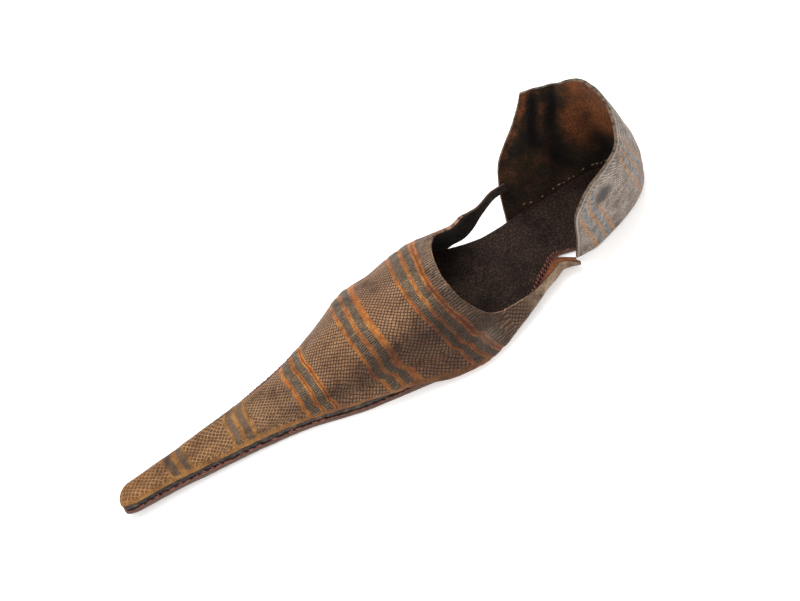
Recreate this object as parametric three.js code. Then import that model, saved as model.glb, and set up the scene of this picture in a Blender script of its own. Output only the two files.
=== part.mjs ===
// A late medieval poulaine: a leather turnshoe for the right foot with a long pointed toe, a low throat
// and a separate heel piece. Millimetres. +X is towards the point, +Y towards the inner side of the foot and
// +Z up.
import * as THREE from "three";

// Driving dimensions, in millimetres.
const LENGTH = 317; // sole, back of the heel to the tip of the point
const HEEL_WIDTH = 44;
const WAIST_WIDTH = 41;
const BALL_WIDTH = 86;
const POINT_WIDTH = 24; // sole across the middle of the point
const HEEL_ROUND = 24; // length of the sole's rounded back end
const TIP_ROUND = 9; // length of the sole's rounded front end
const TOE_SPRING = 4.5; // how far the tip stands off the ground
const TREAD_END = 158; // from the back: here the sole leaves the ground towards the tip
const ARCH_RISE = 1.5; // how far the sole stands off the ground under the arch of the foot
const ARCH_BACK = 42; // from the back: where the arch starts
const ARCH_FRONT = 112; // and where it ends
const INSTEP_HEIGHT = 36; // top of the vamp at the throat, above the sole
const POINT_HEIGHT = 4.4; // top of the hollow point, above the sole
const SOLE_THICKNESS = 3.2;
const SOLE_EDGE = 0.8; // rounding of the sole's edge
const RAND_THICKNESS = 3.2;
const RAND_WIDTH = 3;
const LEATHER = 1.8; // wall of the upper
const UPPER_INSET = 0.8; // upper's outer face inside the rand's, along the point
const HEM_HEIGHT = 1; // lower edge of the upper off the ground where it wraps round the sole
const WRAP_END = 140; // from the back: here the upper climbs from round the sole onto the rand
const WRAP_CLIMB = 46; // length over which it does
const SEAM_GAP = 0.3; // clearance where two pieces meet
const WRAP_GAP = 0.6; // clearance between the sole's edge and the upper wrapped round it
const STRAP_GAP = 0.8; // clearance between the outer wing's strap and the heel piece's inner face
const QUARTER_HEIGHT = 60; // heel piece, at its highest
const COLLAR_RADIUS = 44; // round opening at the top of the heel piece
const COLLAR_SHIFT = 4.8; // its middle, towards the inner side
const COLLAR_SET = -1.2; // back of the collar, forward of the sole's back end, or less than 0 behind it
const HEEL_SWELL = 4.8; // how far the back of the heel piece bellies out
const SWELL_CURVE = 0.8; // 1 puts the belly at mid height, less puts it lower
const LATERAL_REACH = 68; // bottom front corner of the heel piece on the outer side, from the back
const MEDIAL_REACH = 50; // the same on the inner side
const WING_SLUMP = 13; // how far the inner wing has sagged outwards over the sole's edge
const SLUMP_HEIGHT = 5; // height above the seam at which the inner side sags furthest
const WING_HEIGHT = 24; // outer wing at the corner of the throat, above the sole
const STRAP_LAP = 8.5; // end of the outer wing, back from the heel piece's bottom corner

// Sole outline. Both widths are shares of the size named in the row, from the line between heel and point.
const SOLE_ROWS = [
  { along: 0, of: HEEL_WIDTH, medial: 0.38, lateral: -0.42 },
  { along: 0.047, of: HEEL_WIDTH, medial: 0.425, lateral: -0.43 },
  { along: 0.088, of: HEEL_WIDTH, medial: 0.495, lateral: -0.44 },
  { along: 0.126, of: HEEL_WIDTH, medial: 0.54, lateral: -0.445 },
  { along: 0.152, of: HEEL_WIDTH, medial: 0.49, lateral: -0.46 },
  { along: 0.192, of: WAIST_WIDTH, medial: 0.42, lateral: -0.51 },
  { along: 0.227, of: WAIST_WIDTH, medial: 0.585, lateral: -0.485 },
  { along: 0.259, of: BALL_WIDTH, medial: 0.37, lateral: -0.24 },
  { along: 0.287, of: BALL_WIDTH, medial: 0.433, lateral: -0.276 },
  { along: 0.319, of: BALL_WIDTH, medial: 0.493, lateral: -0.34 },
  { along: 0.347, of: BALL_WIDTH, medial: 0.54, lateral: -0.39 },
  { along: 0.382, of: BALL_WIDTH, medial: 0.567, lateral: -0.43 },
  { along: 0.426, of: BALL_WIDTH, medial: 0.54, lateral: -0.435 },
  { along: 0.467, of: BALL_WIDTH, medial: 0.493, lateral: -0.418 },
  { along: 0.502, of: BALL_WIDTH, medial: 0.455, lateral: -0.393 },
  { along: 0.543, of: BALL_WIDTH, medial: 0.415, lateral: -0.363 },
  { along: 0.58, of: BALL_WIDTH, medial: 0.378, lateral: -0.333 },
  { along: 0.618, of: BALL_WIDTH, medial: 0.322, lateral: -0.288 },
  { along: 0.653, of: BALL_WIDTH, medial: 0.264, lateral: -0.24 },
  { along: 0.691, of: BALL_WIDTH, medial: 0.216, lateral: -0.21 },
  { along: 0.732, of: POINT_WIDTH, medial: 0.64, lateral: -0.68 },
  { along: 0.77, of: POINT_WIDTH, medial: 0.53, lateral: -0.62 },
  { along: 0.808, of: POINT_WIDTH, medial: 0.45, lateral: -0.54 },
  { along: 0.852, of: POINT_WIDTH, medial: 0.355, lateral: -0.48 },
  { along: 0.9, of: POINT_WIDTH, medial: 0.26, lateral: -0.455 },
  { along: 0.94, of: POINT_WIDTH, medial: 0.2, lateral: -0.43 },
  { along: 1, of: POINT_WIDTH, medial: 0.16, lateral: -0.36 },
];

// Cross-sections of the vamp. Height is a share of the size named in the row, boxy is 0 for a round arch
// and 1 for a flat top with upright sides, sag is a share of WING_SLUMP.
const VAMP_ROWS = [
  { along: 0.15, of: INSTEP_HEIGHT, height: 1, boxy: 0, sag: 0.5 },
  { along: 0.175, of: INSTEP_HEIGHT, height: 1, boxy: 0, sag: 0.8 },
  { along: 0.2, of: INSTEP_HEIGHT, height: 1, boxy: 0, sag: 1 },
  { along: 0.25, of: INSTEP_HEIGHT, height: 1, boxy: 0, sag: 0.62 },
  { along: 0.3, of: INSTEP_HEIGHT, height: 1, boxy: 0, sag: 0.36 },
  { along: 0.36, of: INSTEP_HEIGHT, height: 1, boxy: 0, sag: 0.15 },
  { along: 0.406, of: INSTEP_HEIGHT, height: 0.97, boxy: 0, sag: 0.19 },
  { along: 0.444, of: INSTEP_HEIGHT, height: 0.88, boxy: 0, sag: 0.19 },
  { along: 0.484, of: INSTEP_HEIGHT, height: 0.77, boxy: 0, sag: 0.15 },
  { along: 0.54, of: INSTEP_HEIGHT, height: 0.62, boxy: 0, sag: 0.12 },
  { along: 0.58, of: INSTEP_HEIGHT, height: 0.48, boxy: 0.05, sag: 0.1 },
  { along: 0.62, of: INSTEP_HEIGHT, height: 0.36, boxy: 0.1, sag: 0.05 },
  { along: 0.66, of: INSTEP_HEIGHT, height: 0.28, boxy: 0.25, sag: 0.05 },
  { along: 0.73, of: POINT_HEIGHT, height: 1.25, boxy: 0.6, sag: 0 },
  { along: 0.81, of: POINT_HEIGHT, height: 1.05, boxy: 0.9, sag: 0 },
  { along: 1, of: POINT_HEIGHT, height: 0.9, boxy: 0.9, sag: 0 },
];

// Throat edge over the vamp: angle up from the inner seam (0) over the ridge (90) to the outer seam (180).
const THROAT_ROWS = [
  { angle: 24, along: 0.32 },
  { angle: 30, along: 0.338 },
  { angle: 38, along: 0.351 },
  { angle: 46, along: 0.36 },
  { angle: 58, along: 0.368 },
  { angle: 74, along: 0.37 },
  { angle: 90, along: 0.365 },
  { angle: 105, along: 0.356 },
  { angle: 122, along: 0.341 },
  { angle: 135, along: 0.33 },
];

// Inner wing: top edge above the seam as a share of WING_HEIGHT, and its foot's distance out past the sole's
// edge as a share of WING_SLUMP. Place is 0 at the wing's tip and 1 at the throat's corner.
const MEDIAL_WING_ROWS = [
  { place: 0, top: 0.24, stray: 0.4 },
  { place: 0.12, top: 0.32, stray: 0.16 },
  { place: 0.22, top: 0.33, stray: 0 },
  { place: 0.45, top: 0.34, stray: 0 },
  { place: 0.65, top: 0.4, stray: 0 },
  { place: 0.82, top: 0.5, stray: 0 },
  { place: 1, top: 0.62, stray: 0 },
];

// Outer wing, which tapers into a strap: both edges above the seam, as shares of WING_HEIGHT, and how much
// of its way over to the heel piece's inner face it has gone.
const LATERAL_WING_ROWS = [
  { place: 0, bottom: 0.76, top: 0.91, drawn: 1 },
  { place: 0.16, bottom: 0.74, top: 0.9, drawn: 1 },
  { place: 0.42, bottom: 0.62, top: 0.83, drawn: 0.78 },
  { place: 0.55, bottom: 0.51, top: 0.9, drawn: 0.6 },
  { place: 0.68, bottom: 0.37, top: 1.03, drawn: 0.4 },
  { place: 0.88, bottom: 0.15, top: 1.11, drawn: 0 },
  { place: 1, bottom: 0, top: 1.06, drawn: 0 },
];

// Heel piece round the heel: side is -1 at the outer front edge, 0 at the back and 1 at the inner front
// edge. Belly is a share of HEEL_SWELL, stray of the foot away from the sole a share of COLLAR_RADIUS, and
// height and hem, the foot's lift off the ground, are shares of QUARTER_HEIGHT.
const QUARTER_ROWS = [
  { side: -1, belly: 0, stray: 0, height: 0.99, hem: 0.01 },
  { side: -0.85, belly: 0, stray: 0, height: 0.985, hem: 0 },
  { side: -0.64, belly: 0.1, stray: 0, height: 0.99, hem: 0 },
  { side: -0.47, belly: 0.35, stray: 0, height: 1.04, hem: 0 },
  { side: -0.27, belly: 0.75, stray: 0, height: 1.08, hem: 0 },
  { side: 0, belly: 1, stray: 0, height: 1.05, hem: 0 },
  { side: 0.3, belly: 1, stray: 0, height: 0.985, hem: 0 },
  { side: 0.55, belly: 0.55, stray: 0, height: 0.96, hem: 0 },
  { side: 0.8, belly: 0, stray: 0.02, height: 0.98, hem: 0 },
  { side: 1, belly: 0, stray: 0.1, height: 0.97, hem: 0.01 },
];

// Front edges of the heel piece: how far forward they reach at each share of its height.
const FRONT_EDGE_ROWS = [
  { up: 0, lateral: 1, medial: 1 },
  { up: 0.15, lateral: 0.962, medial: 0.977 },
  { up: 0.27, lateral: 0.933, medial: 0.96 },
  { up: 0.36, lateral: 0.905, medial: 0.953 },
  { up: 0.467, lateral: 0.864, medial: 0.945 },
  { up: 0.546, lateral: 0.82, medial: 0.938 },
  { up: 0.68, lateral: 0.692, medial: 0.92 },
  { up: 0.78, lateral: 0.587, medial: 0.88 },
  { up: 0.92, lateral: 0.476, medial: 0.78 },
  { up: 1, lateral: 0.43, medial: 0.67 },
];

const OUTLINE_STEPS = 88;
const VAMP_STEPS = 40;
const ARCH_STEPS = 22;
const WING_STEPS = 16;
const WING_COLUMNS = 5;
const QUARTER_STEPS = 36;
const QUARTER_LEVELS = 12;
const RAND_STEPS = 48;
const NUDGE = 0.05; // step along the sole's edge used to find its direction

// Value of one column at a place in a table, on a curve that passes through the rows and never overshoots.
// A sized column is multiplied by the size named in its row.
function follow(rows, key, column, at, sized = false) {
  const value = (row) => row[column] * (sized ? row.of : 1);
  const last = rows.length - 1;
  if (at <= rows[0][key]) return value(rows[0]);
  if (at >= rows[last][key]) return value(rows[last]);
  const i = rows.findIndex((row) => row[key] > at) - 1;
  const slope = (k) => (value(rows[k + 1]) - value(rows[k])) / (rows[k + 1][key] - rows[k][key]);
  const tangent = (k) => {
    if (k === 0) return slope(0);
    if (k === last) return slope(last - 1);
    const [before, after] = [slope(k - 1), slope(k)];
    return before * after <= 0 ? 0 : (2 * before * after) / (before + after);
  };
  const span = rows[i + 1][key] - rows[i][key];
  const t = (at - rows[i][key]) / span;
  return (
    value(rows[i]) * (1 + 2 * t) * (1 - t) ** 2 +
    value(rows[i + 1]) * (3 - 2 * t) * t ** 2 +
    span * t * (1 - t) * (tangent(i) * (1 - t) - tangent(i + 1) * t)
  );
}

const radians = THREE.MathUtils.degToRad;
const blend = THREE.MathUtils.lerp;

// Quarter-ellipse that rounds off the two ends of the sole.
function rounding(x) {
  const heel = 1 - THREE.MathUtils.clamp(x / HEEL_ROUND, 0, 1);
  const tip = 1 - THREE.MathUtils.clamp((LENGTH - x) / TIP_ROUND, 0, 1);
  return Math.sqrt(1 - heel ** 2) * Math.sqrt(1 - tip ** 2);
}

// Edge of the sole on one side, "medial" or "lateral".
function soleEdge(side, x) {
  return follow(SOLE_ROWS, "along", side, x / LENGTH, true) * rounding(x);
}

// A point off the sole's edge, square to it, by a distance outwards.
function besideSole(side, x, distance) {
  const [behind, ahead] = [Math.max(0, x - NUDGE), Math.min(LENGTH, x + NUDGE)];
  const across = soleEdge(side, ahead) - soleEdge(side, behind);
  const along = new THREE.Vector2(ahead - behind, across).normalize();
  const outwards = side === "medial" ? distance : -distance;
  return new THREE.Vector2(x - along.y * outwards, soleEdge(side, x) + along.x * outwards);
}

// Foot of the vamp's outer face: it wraps round the sole's edge, and further forward stands on the rand.
function vampFoot(side, x) {
  const climbed = THREE.MathUtils.clamp((x - WRAP_END) / WRAP_CLIMB, 0, 1);
  const rise = THREE.MathUtils.smoothstep(climbed, 0, 0.5);
  const moved = THREE.MathUtils.smoothstep(climbed, 0.5, 1);
  const edge = besideSole(side, x, blend(WRAP_GAP + LEATHER, -UPPER_INSET * rounding(x), moved));
  return new THREE.Vector3(edge.x, edge.y, blend(HEM_HEIGHT, VAMP_FOOT, rise));
}

// How far the sole stands off the ground at a place: it rises a little under the arch of the foot, and
// curves up gently from the tread to the tip.
function lift(x) {
  const arch = THREE.MathUtils.clamp((x - ARCH_BACK) / (ARCH_FRONT - ARCH_BACK), 0, 1);
  const spring = Math.max(0, x - TREAD_END) / (LENGTH - TREAD_END);
  return ARCH_RISE * Math.sin(Math.PI * arch) ** 2 + TOE_SPRING * spring ** 2;
}

// Places along the sole, closer together at its round ends.
function stations(from, to, steps) {
  return Array.from({ length: steps + 1 }, (_, i) => {
    return blend(from, to, (1 - Math.cos((Math.PI * i) / steps)) / 2);
  });
}

// Outline of the sole as a closed loop, up the inner side and back down the outer side, moved in by inset.
function soleLoop(inset) {
  const places = stations(0, LENGTH, OUTLINE_STEPS);
  const medial = places.map((x) => new THREE.Vector2(x, soleEdge("medial", x)));
  const lateral = places.map((x) => new THREE.Vector2(x, soleEdge("lateral", x)));
  return movedIn([...medial, ...lateral.slice(1, -1).reverse()], inset, true);
}

// A line of points moved to its right by a distance, square to itself.
function movedIn(line, distance, closed) {
  const last = line.length - 1;
  const at = (i) => line[closed ? (i + line.length) % line.length : THREE.MathUtils.clamp(i, 0, last)];
  return line.map((point, i) => {
    const along = at(i + 1).clone().sub(at(i - 1)).normalize();
    return point.clone().add(new THREE.Vector2(along.y, -along.x).multiplyScalar(distance));
  });
}

// Turns points and triangles into a mesh geometry.
function geometryOf(points, triangles) {
  const geometry = new THREE.BufferGeometry();
  const coordinates = points.flatMap((p) => [p.x, p.y, p.z]);
  geometry.setAttribute("position", new THREE.Float32BufferAttribute(coordinates, 3));
  geometry.setIndex(triangles.flat());
  geometry.computeVertexNormals();
  return geometry;
}

// Skins a stack of closed loops of equal length, bottom to top, with a flat strip cap across each end.
function stackedLoops(loops) {
  const count = loops[0].length;
  const triangles = [];
  for (let level = 0; level < loops.length - 1; level++)
    for (let i = 0; i < count; i++) {
      const [a, b] = [level * count + i, level * count + ((i + 1) % count)];
      triangles.push([a, a + count, b], [b, a + count, b + count]);
    }
  const across = (level, i) => level * count + ((count - i) % count);
  for (const [level, top] of [[0, false], [loops.length - 1, true]])
    for (let i = 0; i < count / 2; i++) {
      const strip = [level * count + i, level * count + i + 1, across(level, i + 1), across(level, i)];
      const halves = [[strip[0], strip[1], strip[2]], [strip[0], strip[2], strip[3]]];
      for (const [a, b, c] of halves)
        if (a !== b && b !== c && a !== c) triangles.push(top ? [a, c, b] : [a, b, c]);
    }
  return geometryOf(loops.flat(), triangles);
}

// Gives a sheet of quads a thickness. The sheet is its outer face; inward(index, normal) is the way to its
// inner face, and every free edge gets a rim.
function thickened(points, quads, thickness, inward) {
  const normals = points.map(() => new THREE.Vector3());
  const halves = quads.flatMap(([a, b, c, d]) => [[a, b, c], [a, c, d]]);
  const faces = halves.filter(([a, b, c]) => a !== b && b !== c && a !== c);
  for (const [a, b, c] of faces) {
    const ab = points[b].clone().sub(points[a]);
    const normal = ab.cross(points[c].clone().sub(points[a]));
    for (const corner of [a, b, c]) normals[corner].add(normal);
  }
  const inner = points.map((point, i) => {
    return point.clone().addScaledVector(inward(i, normals[i].normalize()), -thickness);
  });
  const count = points.length;
  const used = new Set(faces.flatMap(([a, b, c]) => [`${a} ${b}`, `${b} ${c}`, `${c} ${a}`]));
  const triangles = [...faces, ...faces.map(([a, b, c]) => [a + count, c + count, b + count])];
  for (const edge of used) {
    const [a, b] = edge.split(" ").map(Number);
    if (!used.has(`${b} ${a}`)) triangles.push([b, a, a + count], [b, a + count, b + count]);
  }
  return geometryOf([...points, ...inner], triangles);
}

// The turned sole: one thickness of leather with softly rounded edges.
function soleGeometry() {
  const levels = [
    { height: 0, inset: SOLE_EDGE },
    { height: SOLE_EDGE, inset: 0 },
    { height: SOLE_THICKNESS - SOLE_EDGE, inset: 0 },
    { height: SOLE_THICKNESS, inset: SOLE_EDGE },
  ];
  const raised = (loop, height) => loop.map((p) => new THREE.Vector3(p.x, p.y, height + lift(p.x)));
  return stackedLoops(levels.map(({ height, inset }) => raised(soleLoop(inset), height)));
}

const RAND_FOOT = SOLE_THICKNESS + SEAM_GAP;
const VAMP_FOOT = RAND_FOOT + RAND_THICKNESS + SEAM_GAP;
const THROAT_BACK = THROAT_ROWS[0].along * LENGTH; // inner corner of the throat
const WING_BACK = THROAT_ROWS.at(-1).along * LENGTH; // outer corner of the throat

// The rand: a strip in the seam between the vamp and the sole, from the ball round the point and back.
function randGeometry() {
  const start = WRAP_END + WRAP_CLIMB / 2;
  const places = Array.from({ length: RAND_STEPS + 1 }, (_, i) => {
    return blend(start, LENGTH, Math.sin(((i / RAND_STEPS) * Math.PI) / 2));
  });
  const line = [
    ...places.map((x) => new THREE.Vector2(x, soleEdge("medial", x))),
    ...places.reverse().slice(1).map((x) => new THREE.Vector2(x, soleEdge("lateral", x))),
  ];
  const outer = movedIn(line, SOLE_EDGE / 2, false);
  const inner = movedIn(line, RAND_WIDTH, false);
  const at = (p, height) => new THREE.Vector3(p.x, p.y, height + lift(p.x));
  const rows = line.map((_, i) => [
    at(outer[i], RAND_FOOT),
    at(inner[i], RAND_FOOT),
    at(inner[i], RAND_FOOT + RAND_THICKNESS),
    at(outer[i], RAND_FOOT + RAND_THICKNESS),
  ]);
  const triangles = [];
  for (let i = 0; i < rows.length - 1; i++)
    for (let k = 0; k < 4; k++) {
      const [a, b] = [4 * i + k, 4 * i + ((k + 1) % 4)];
      triangles.push([a, a + 4, b], [b, a + 4, b + 4]);
    }
  const end = 4 * (rows.length - 1);
  triangles.push([0, 1, 2], [0, 2, 3], [end, end + 2, end + 1], [end, end + 3, end + 2]);
  return geometryOf(rows.flat(), triangles);
}

// Height above the seam at an angle of the arch.
function archHeight(x, angle) {
  const boxy = follow(VAMP_ROWS, "along", "boxy", x / LENGTH);
  const tip = Math.sqrt(1 - (1 - THREE.MathUtils.clamp((LENGTH - x) / TIP_ROUND, 0, 1)) ** 2);
  return follow(VAMP_ROWS, "along", "height", x / LENGTH, true) * tip * Math.sin(angle) ** (1 / (1 + boxy));
}

// A point on the vamp's outer face. The angle runs from 0 at the inner seam over the ridge to pi at the
// outer seam.
function vampPoint(x, angle, stray = 0) {
  const boxy = follow(VAMP_ROWS, "along", "boxy", x / LENGTH);
  const feet = [vampFoot("medial", x), vampFoot("lateral", x)];
  const foot = angle < Math.PI / 2 ? feet[0] : feet[1];
  const height = archHeight(x, angle);
  const swell = (height / SLUMP_HEIGHT) * Math.exp(1 - height / SLUMP_HEIGHT);
  const sag = angle < Math.PI / 2 ? follow(VAMP_ROWS, "along", "sag", x / LENGTH) * WING_SLUMP * swell : 0;
  const ridge = feet[0].clone().lerp(feet[1], 0.5);
  const spread = Math.abs(Math.cos(angle)) ** (1 / (1 + boxy));
  return new THREE.Vector3(
    blend(ridge.x, foot.x, spread),
    blend(ridge.y, foot.y, spread) + sag + stray,
    foot.z + lift(x) + height,
  );
}

// A point on the heel piece's outer face: side from -1 to 1 round the heel, up from 0 at the sole to 1. The
// wall runs from round the sole's edge out to the round collar, and bellies out behind the heel.
function quarterPoint(side, up) {
  const [reach, edge] = side < 0 ? [LATERAL_REACH, "lateral"] : [MEDIAL_REACH, "medial"];
  const outwards = side < 0 ? -1 : 1;
  const turn = (Math.PI * Math.abs(side)) / 2;
  const row = (name) => follow(QUARTER_ROWS, "side", name, side);
  const x = reach * follow(FRONT_EDGE_ROWS, "up", edge, up) * (1 - Math.cos(turn));
  const foot = besideSole(edge, x, WRAP_GAP + LEATHER + COLLAR_RADIUS * row("stray") * (1 - up));
  const collarX = COLLAR_SET + x * (1 - COLLAR_SET / reach);
  const round = Math.sqrt(1 - (1 - Math.min(1, (collarX - COLLAR_SET) / COLLAR_RADIUS)) ** 2);
  const collarY = (outwards * COLLAR_RADIUS + COLLAR_SHIFT) * round;
  const belly = HEEL_SWELL * row("belly") * Math.sin(Math.PI * up ** SWELL_CURVE);
  const hem = HEM_HEIGHT + QUARTER_HEIGHT * row("hem") * (1 - up);
  return new THREE.Vector3(
    blend(foot.x, collarX, up) - belly * Math.cos(turn),
    blend(foot.y, collarY, up) + outwards * belly * Math.sin(turn),
    hem + lift(x) * (1 - up) + QUARTER_HEIGHT * row("height") * up,
  );
}

// Where the heel piece's outer face stands sideways at a place along the shoe and a height off the ground.
function lateralWallAt(x, z) {
  let [side, up] = [-1, 0];
  for (let i = 0; i < 4; i++) {
    up = THREE.MathUtils.clamp(up + (z - quarterPoint(side, up).z) / QUARTER_HEIGHT, 0, 1);
    const reach = LATERAL_REACH * follow(FRONT_EDGE_ROWS, "up", "lateral", up);
    side = (-2 / Math.PI) * Math.acos(Math.max(0, 1 - x / reach));
  }
  return quarterPoint(side, up).y;
}

// The vamp: arch from the tip to the throat, with an inner wing along the sole and an outer wing that
// narrows to a strap. Columns run from the inner seam over the top to the outer seam.
function vampGeometry() {
  const throatAngles = THROAT_ROWS.map((row) => radians(row.angle));
  const [cornerIn, cornerOut] = [throatAngles[0], throatAngles.at(-1)];
  const angles = [];
  for (let j = 0; j <= WING_COLUMNS; j++) angles.push((cornerIn * j) / WING_COLUMNS);
  for (let j = 1; j <= ARCH_STEPS; j++) angles.push(blend(cornerIn, cornerOut, j / ARCH_STEPS));
  for (let j = 1; j <= WING_COLUMNS; j++) angles.push(blend(cornerOut, Math.PI, j / WING_COLUMNS));
  const columns = angles.length;
  const throatRows = THROAT_ROWS.map((row) => ({ ...row, angle: radians(row.angle) }));
  const backEdge = (angle) => LENGTH * follow(throatRows, "angle", "along", angle);

  const points = [];
  for (let i = 0; i < VAMP_STEPS; i++) {
    const share = Math.sin(((i / VAMP_STEPS) * Math.PI) / 2);
    for (const angle of angles) points.push(vampPoint(blend(backEdge(angle), LENGTH, share), angle));
  }
  const tip = points.length;
  points.push(vampPoint(LENGTH, 0));

  const quads = [];
  for (let i = 0; i < VAMP_STEPS; i++)
    for (let j = 0; j < columns - 1; j++) {
      const a = i * columns + j;
      const ahead = i === VAMP_STEPS - 1 ? [tip, tip] : [a + columns, a + columns + 1];
      quads.push([a, a + 1, ahead[1], ahead[0]]);
    }

  // Adds one wing behind the throat, whose first column of points is shared with the vamp's back edge.
  const addWing = (first, pointAt) => {
    let before = Array.from({ length: WING_COLUMNS + 1 }, (_, j) => first + j);
    for (let i = 1; i <= WING_STEPS; i++) {
      const row = before.map((_, j) => points.push(pointAt(1 - i / WING_STEPS, j / WING_COLUMNS)) - 1);
      for (let j = 0; j < WING_COLUMNS; j++) quads.push([row[j], row[j + 1], before[j + 1], before[j]]);
      before = row;
    }
  };
  const medialTip = quarterPoint(1, 0).x + SEAM_GAP;
  addWing(0, (place, share) => {
    const x = blend(medialTip, THROAT_BACK, place);
    const top = WING_HEIGHT * follow(MEDIAL_WING_ROWS, "place", "top", place);
    const angle = Math.asin(top / archHeight(x, Math.PI / 2)) * share;
    return vampPoint(x, angle, WING_SLUMP * follow(MEDIAL_WING_ROWS, "place", "stray", place));
  });
  const strapEnd = LATERAL_REACH - STRAP_LAP;
  addWing(columns - 1 - WING_COLUMNS, (place, share) => {
    const x = blend(strapEnd, WING_BACK, place);
    const row = (name) => follow(LATERAL_WING_ROWS, "place", name, place);
    const height = WING_HEIGHT * blend(row("top"), row("bottom"), share);
    const angle = Math.PI - Math.asin(height / archHeight(x, Math.PI / 2));
    const point = vampPoint(x, angle);
    point.y = blend(point.y, lateralWallAt(x, point.z) + LEATHER + STRAP_GAP, row("drawn"));
    return point;
  });

  const level = (normal) => new THREE.Vector3(normal.x, normal.y, 0).normalize();
  const seam = new Set([tip]);
  for (let i = 0; i < VAMP_STEPS; i++) seam.add(i * columns).add((i + 1) * columns - 1);
  for (let i = 0; i < WING_STEPS; i++) seam.add(tip + 1 + i * (WING_COLUMNS + 1));
  return thickened(points, quads, LEATHER, (i, normal) => (seam.has(i) ? level(normal) : normal));
}

// The heel piece: one leather strip round the heel, open in front and at the collar.
function quarterGeometry() {
  const points = [];
  const quads = [];
  const columns = QUARTER_LEVELS + 1;
  for (let i = 0; i <= QUARTER_STEPS; i++) {
    const side = (2 * i) / QUARTER_STEPS - 1;
    for (let j = 0; j < columns; j++) points.push(quarterPoint(side, j / QUARTER_LEVELS));
  }
  for (let i = 0; i < QUARTER_STEPS; i++)
    for (let j = 0; j < QUARTER_LEVELS; j++) {
      const a = i * columns + j;
      quads.push([a, a + 1, a + columns + 1, a + columns]);
    }
  const level = (normal) => new THREE.Vector3(normal.x, normal.y, 0).normalize();
  return thickened(points, quads, LEATHER, (i, normal) => (i % columns === 0 ? level(normal) : normal));
}

// Adds a named piece with its own material.
function piece(name, geometry, colour, roughness) {
  const material = new THREE.MeshStandardMaterial({ color: colour, roughness, metalness: 0 });
  const mesh = new THREE.Mesh(geometry, material);
  mesh.name = name;
  return mesh;
}

const shoe = new THREE.Group();
shoe.add(
  piece("sole", soleGeometry(), 0x33231b, 0.95),
  piece("rand", randGeometry(), 0x2a2320, 0.8),
  piece("upper_vamp", vampGeometry(), 0x6a5443, 0.7),
  piece("upper_quarters", quarterGeometry(), 0x7a6a60, 0.7),
);

// The origin lies under the middle of the shoe's box, on the ground.
const box = new THREE.Box3().setFromObject(shoe);
const middle = box.getCenter(new THREE.Vector3());
shoe.position.set(-middle.x, -middle.y, -box.min.z);
const part = new THREE.Group();
part.add(shoe);

export default part;
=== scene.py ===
import math
from functools import partial

import bpy
import numpy as np
from mathutils import Matrix, Vector, noise


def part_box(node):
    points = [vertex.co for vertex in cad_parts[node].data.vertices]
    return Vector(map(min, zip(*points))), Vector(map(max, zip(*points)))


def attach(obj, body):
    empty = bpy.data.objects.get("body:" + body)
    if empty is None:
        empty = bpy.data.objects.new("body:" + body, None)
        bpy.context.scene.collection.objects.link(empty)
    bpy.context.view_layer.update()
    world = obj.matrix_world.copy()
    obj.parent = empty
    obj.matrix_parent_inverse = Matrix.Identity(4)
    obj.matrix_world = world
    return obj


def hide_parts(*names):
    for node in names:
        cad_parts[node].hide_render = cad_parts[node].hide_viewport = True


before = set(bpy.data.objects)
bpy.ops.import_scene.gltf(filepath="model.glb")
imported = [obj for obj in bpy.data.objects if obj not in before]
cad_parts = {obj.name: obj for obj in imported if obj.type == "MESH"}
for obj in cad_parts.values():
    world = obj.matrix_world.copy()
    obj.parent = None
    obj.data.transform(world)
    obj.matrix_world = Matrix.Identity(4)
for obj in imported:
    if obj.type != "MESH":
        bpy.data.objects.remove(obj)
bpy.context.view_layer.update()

MM = 0.001


def table(columns, *rows):
    """A table whose columns are read by name."""
    return dict(zip(columns.split(), np.array(rows, float).T))

LENGTH = 317 * MM
HEEL_WIDTH = 44 * MM
WAIST_WIDTH = 41 * MM
BALL_WIDTH = 86 * MM
POINT_WIDTH = 24 * MM
HEEL_ROUND = 24 * MM
TIP_ROUND = 9 * MM
TOE_SPRING = 4.5 * MM
TREAD_END = 158 * MM
ARCH_RISE = 1.5 * MM
ARCH_BACK = 42 * MM
ARCH_FRONT = 112 * MM
INSTEP_HEIGHT = 36 * MM
POINT_HEIGHT = 4.4 * MM
SOLE_THICKNESS = 3.2 * MM
SOLE_EDGE = 0.8 * MM
RAND_THICKNESS = 3.2 * MM
RAND_WIDTH = 3 * MM
LEATHER = 1.8 * MM
UPPER_INSET = 0.8 * MM
HEM_HEIGHT = 1 * MM
WRAP_END = 140 * MM
WRAP_CLIMB = 46 * MM
SEAM_GAP = 0.3 * MM
WRAP_GAP = 0.6 * MM
STRAP_GAP = 0.8 * MM
QUARTER_HEIGHT = 60 * MM
COLLAR_RADIUS = 44 * MM
COLLAR_SHIFT = 4.8 * MM
COLLAR_SET = -1.2 * MM
HEEL_SWELL = 4.8 * MM
SWELL_CURVE = 0.8
LATERAL_REACH = 68 * MM
MEDIAL_REACH = 50 * MM
WING_SLUMP = 13 * MM
SLUMP_HEIGHT = 5 * MM
WING_HEIGHT = 24 * MM
STRAP_LAP = 8.5 * MM
RAND_FOOT = SOLE_THICKNESS + SEAM_GAP
VAMP_FOOT = RAND_FOOT + RAND_THICKNESS + SEAM_GAP
NUDGE = 0.05 * MM

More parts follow.
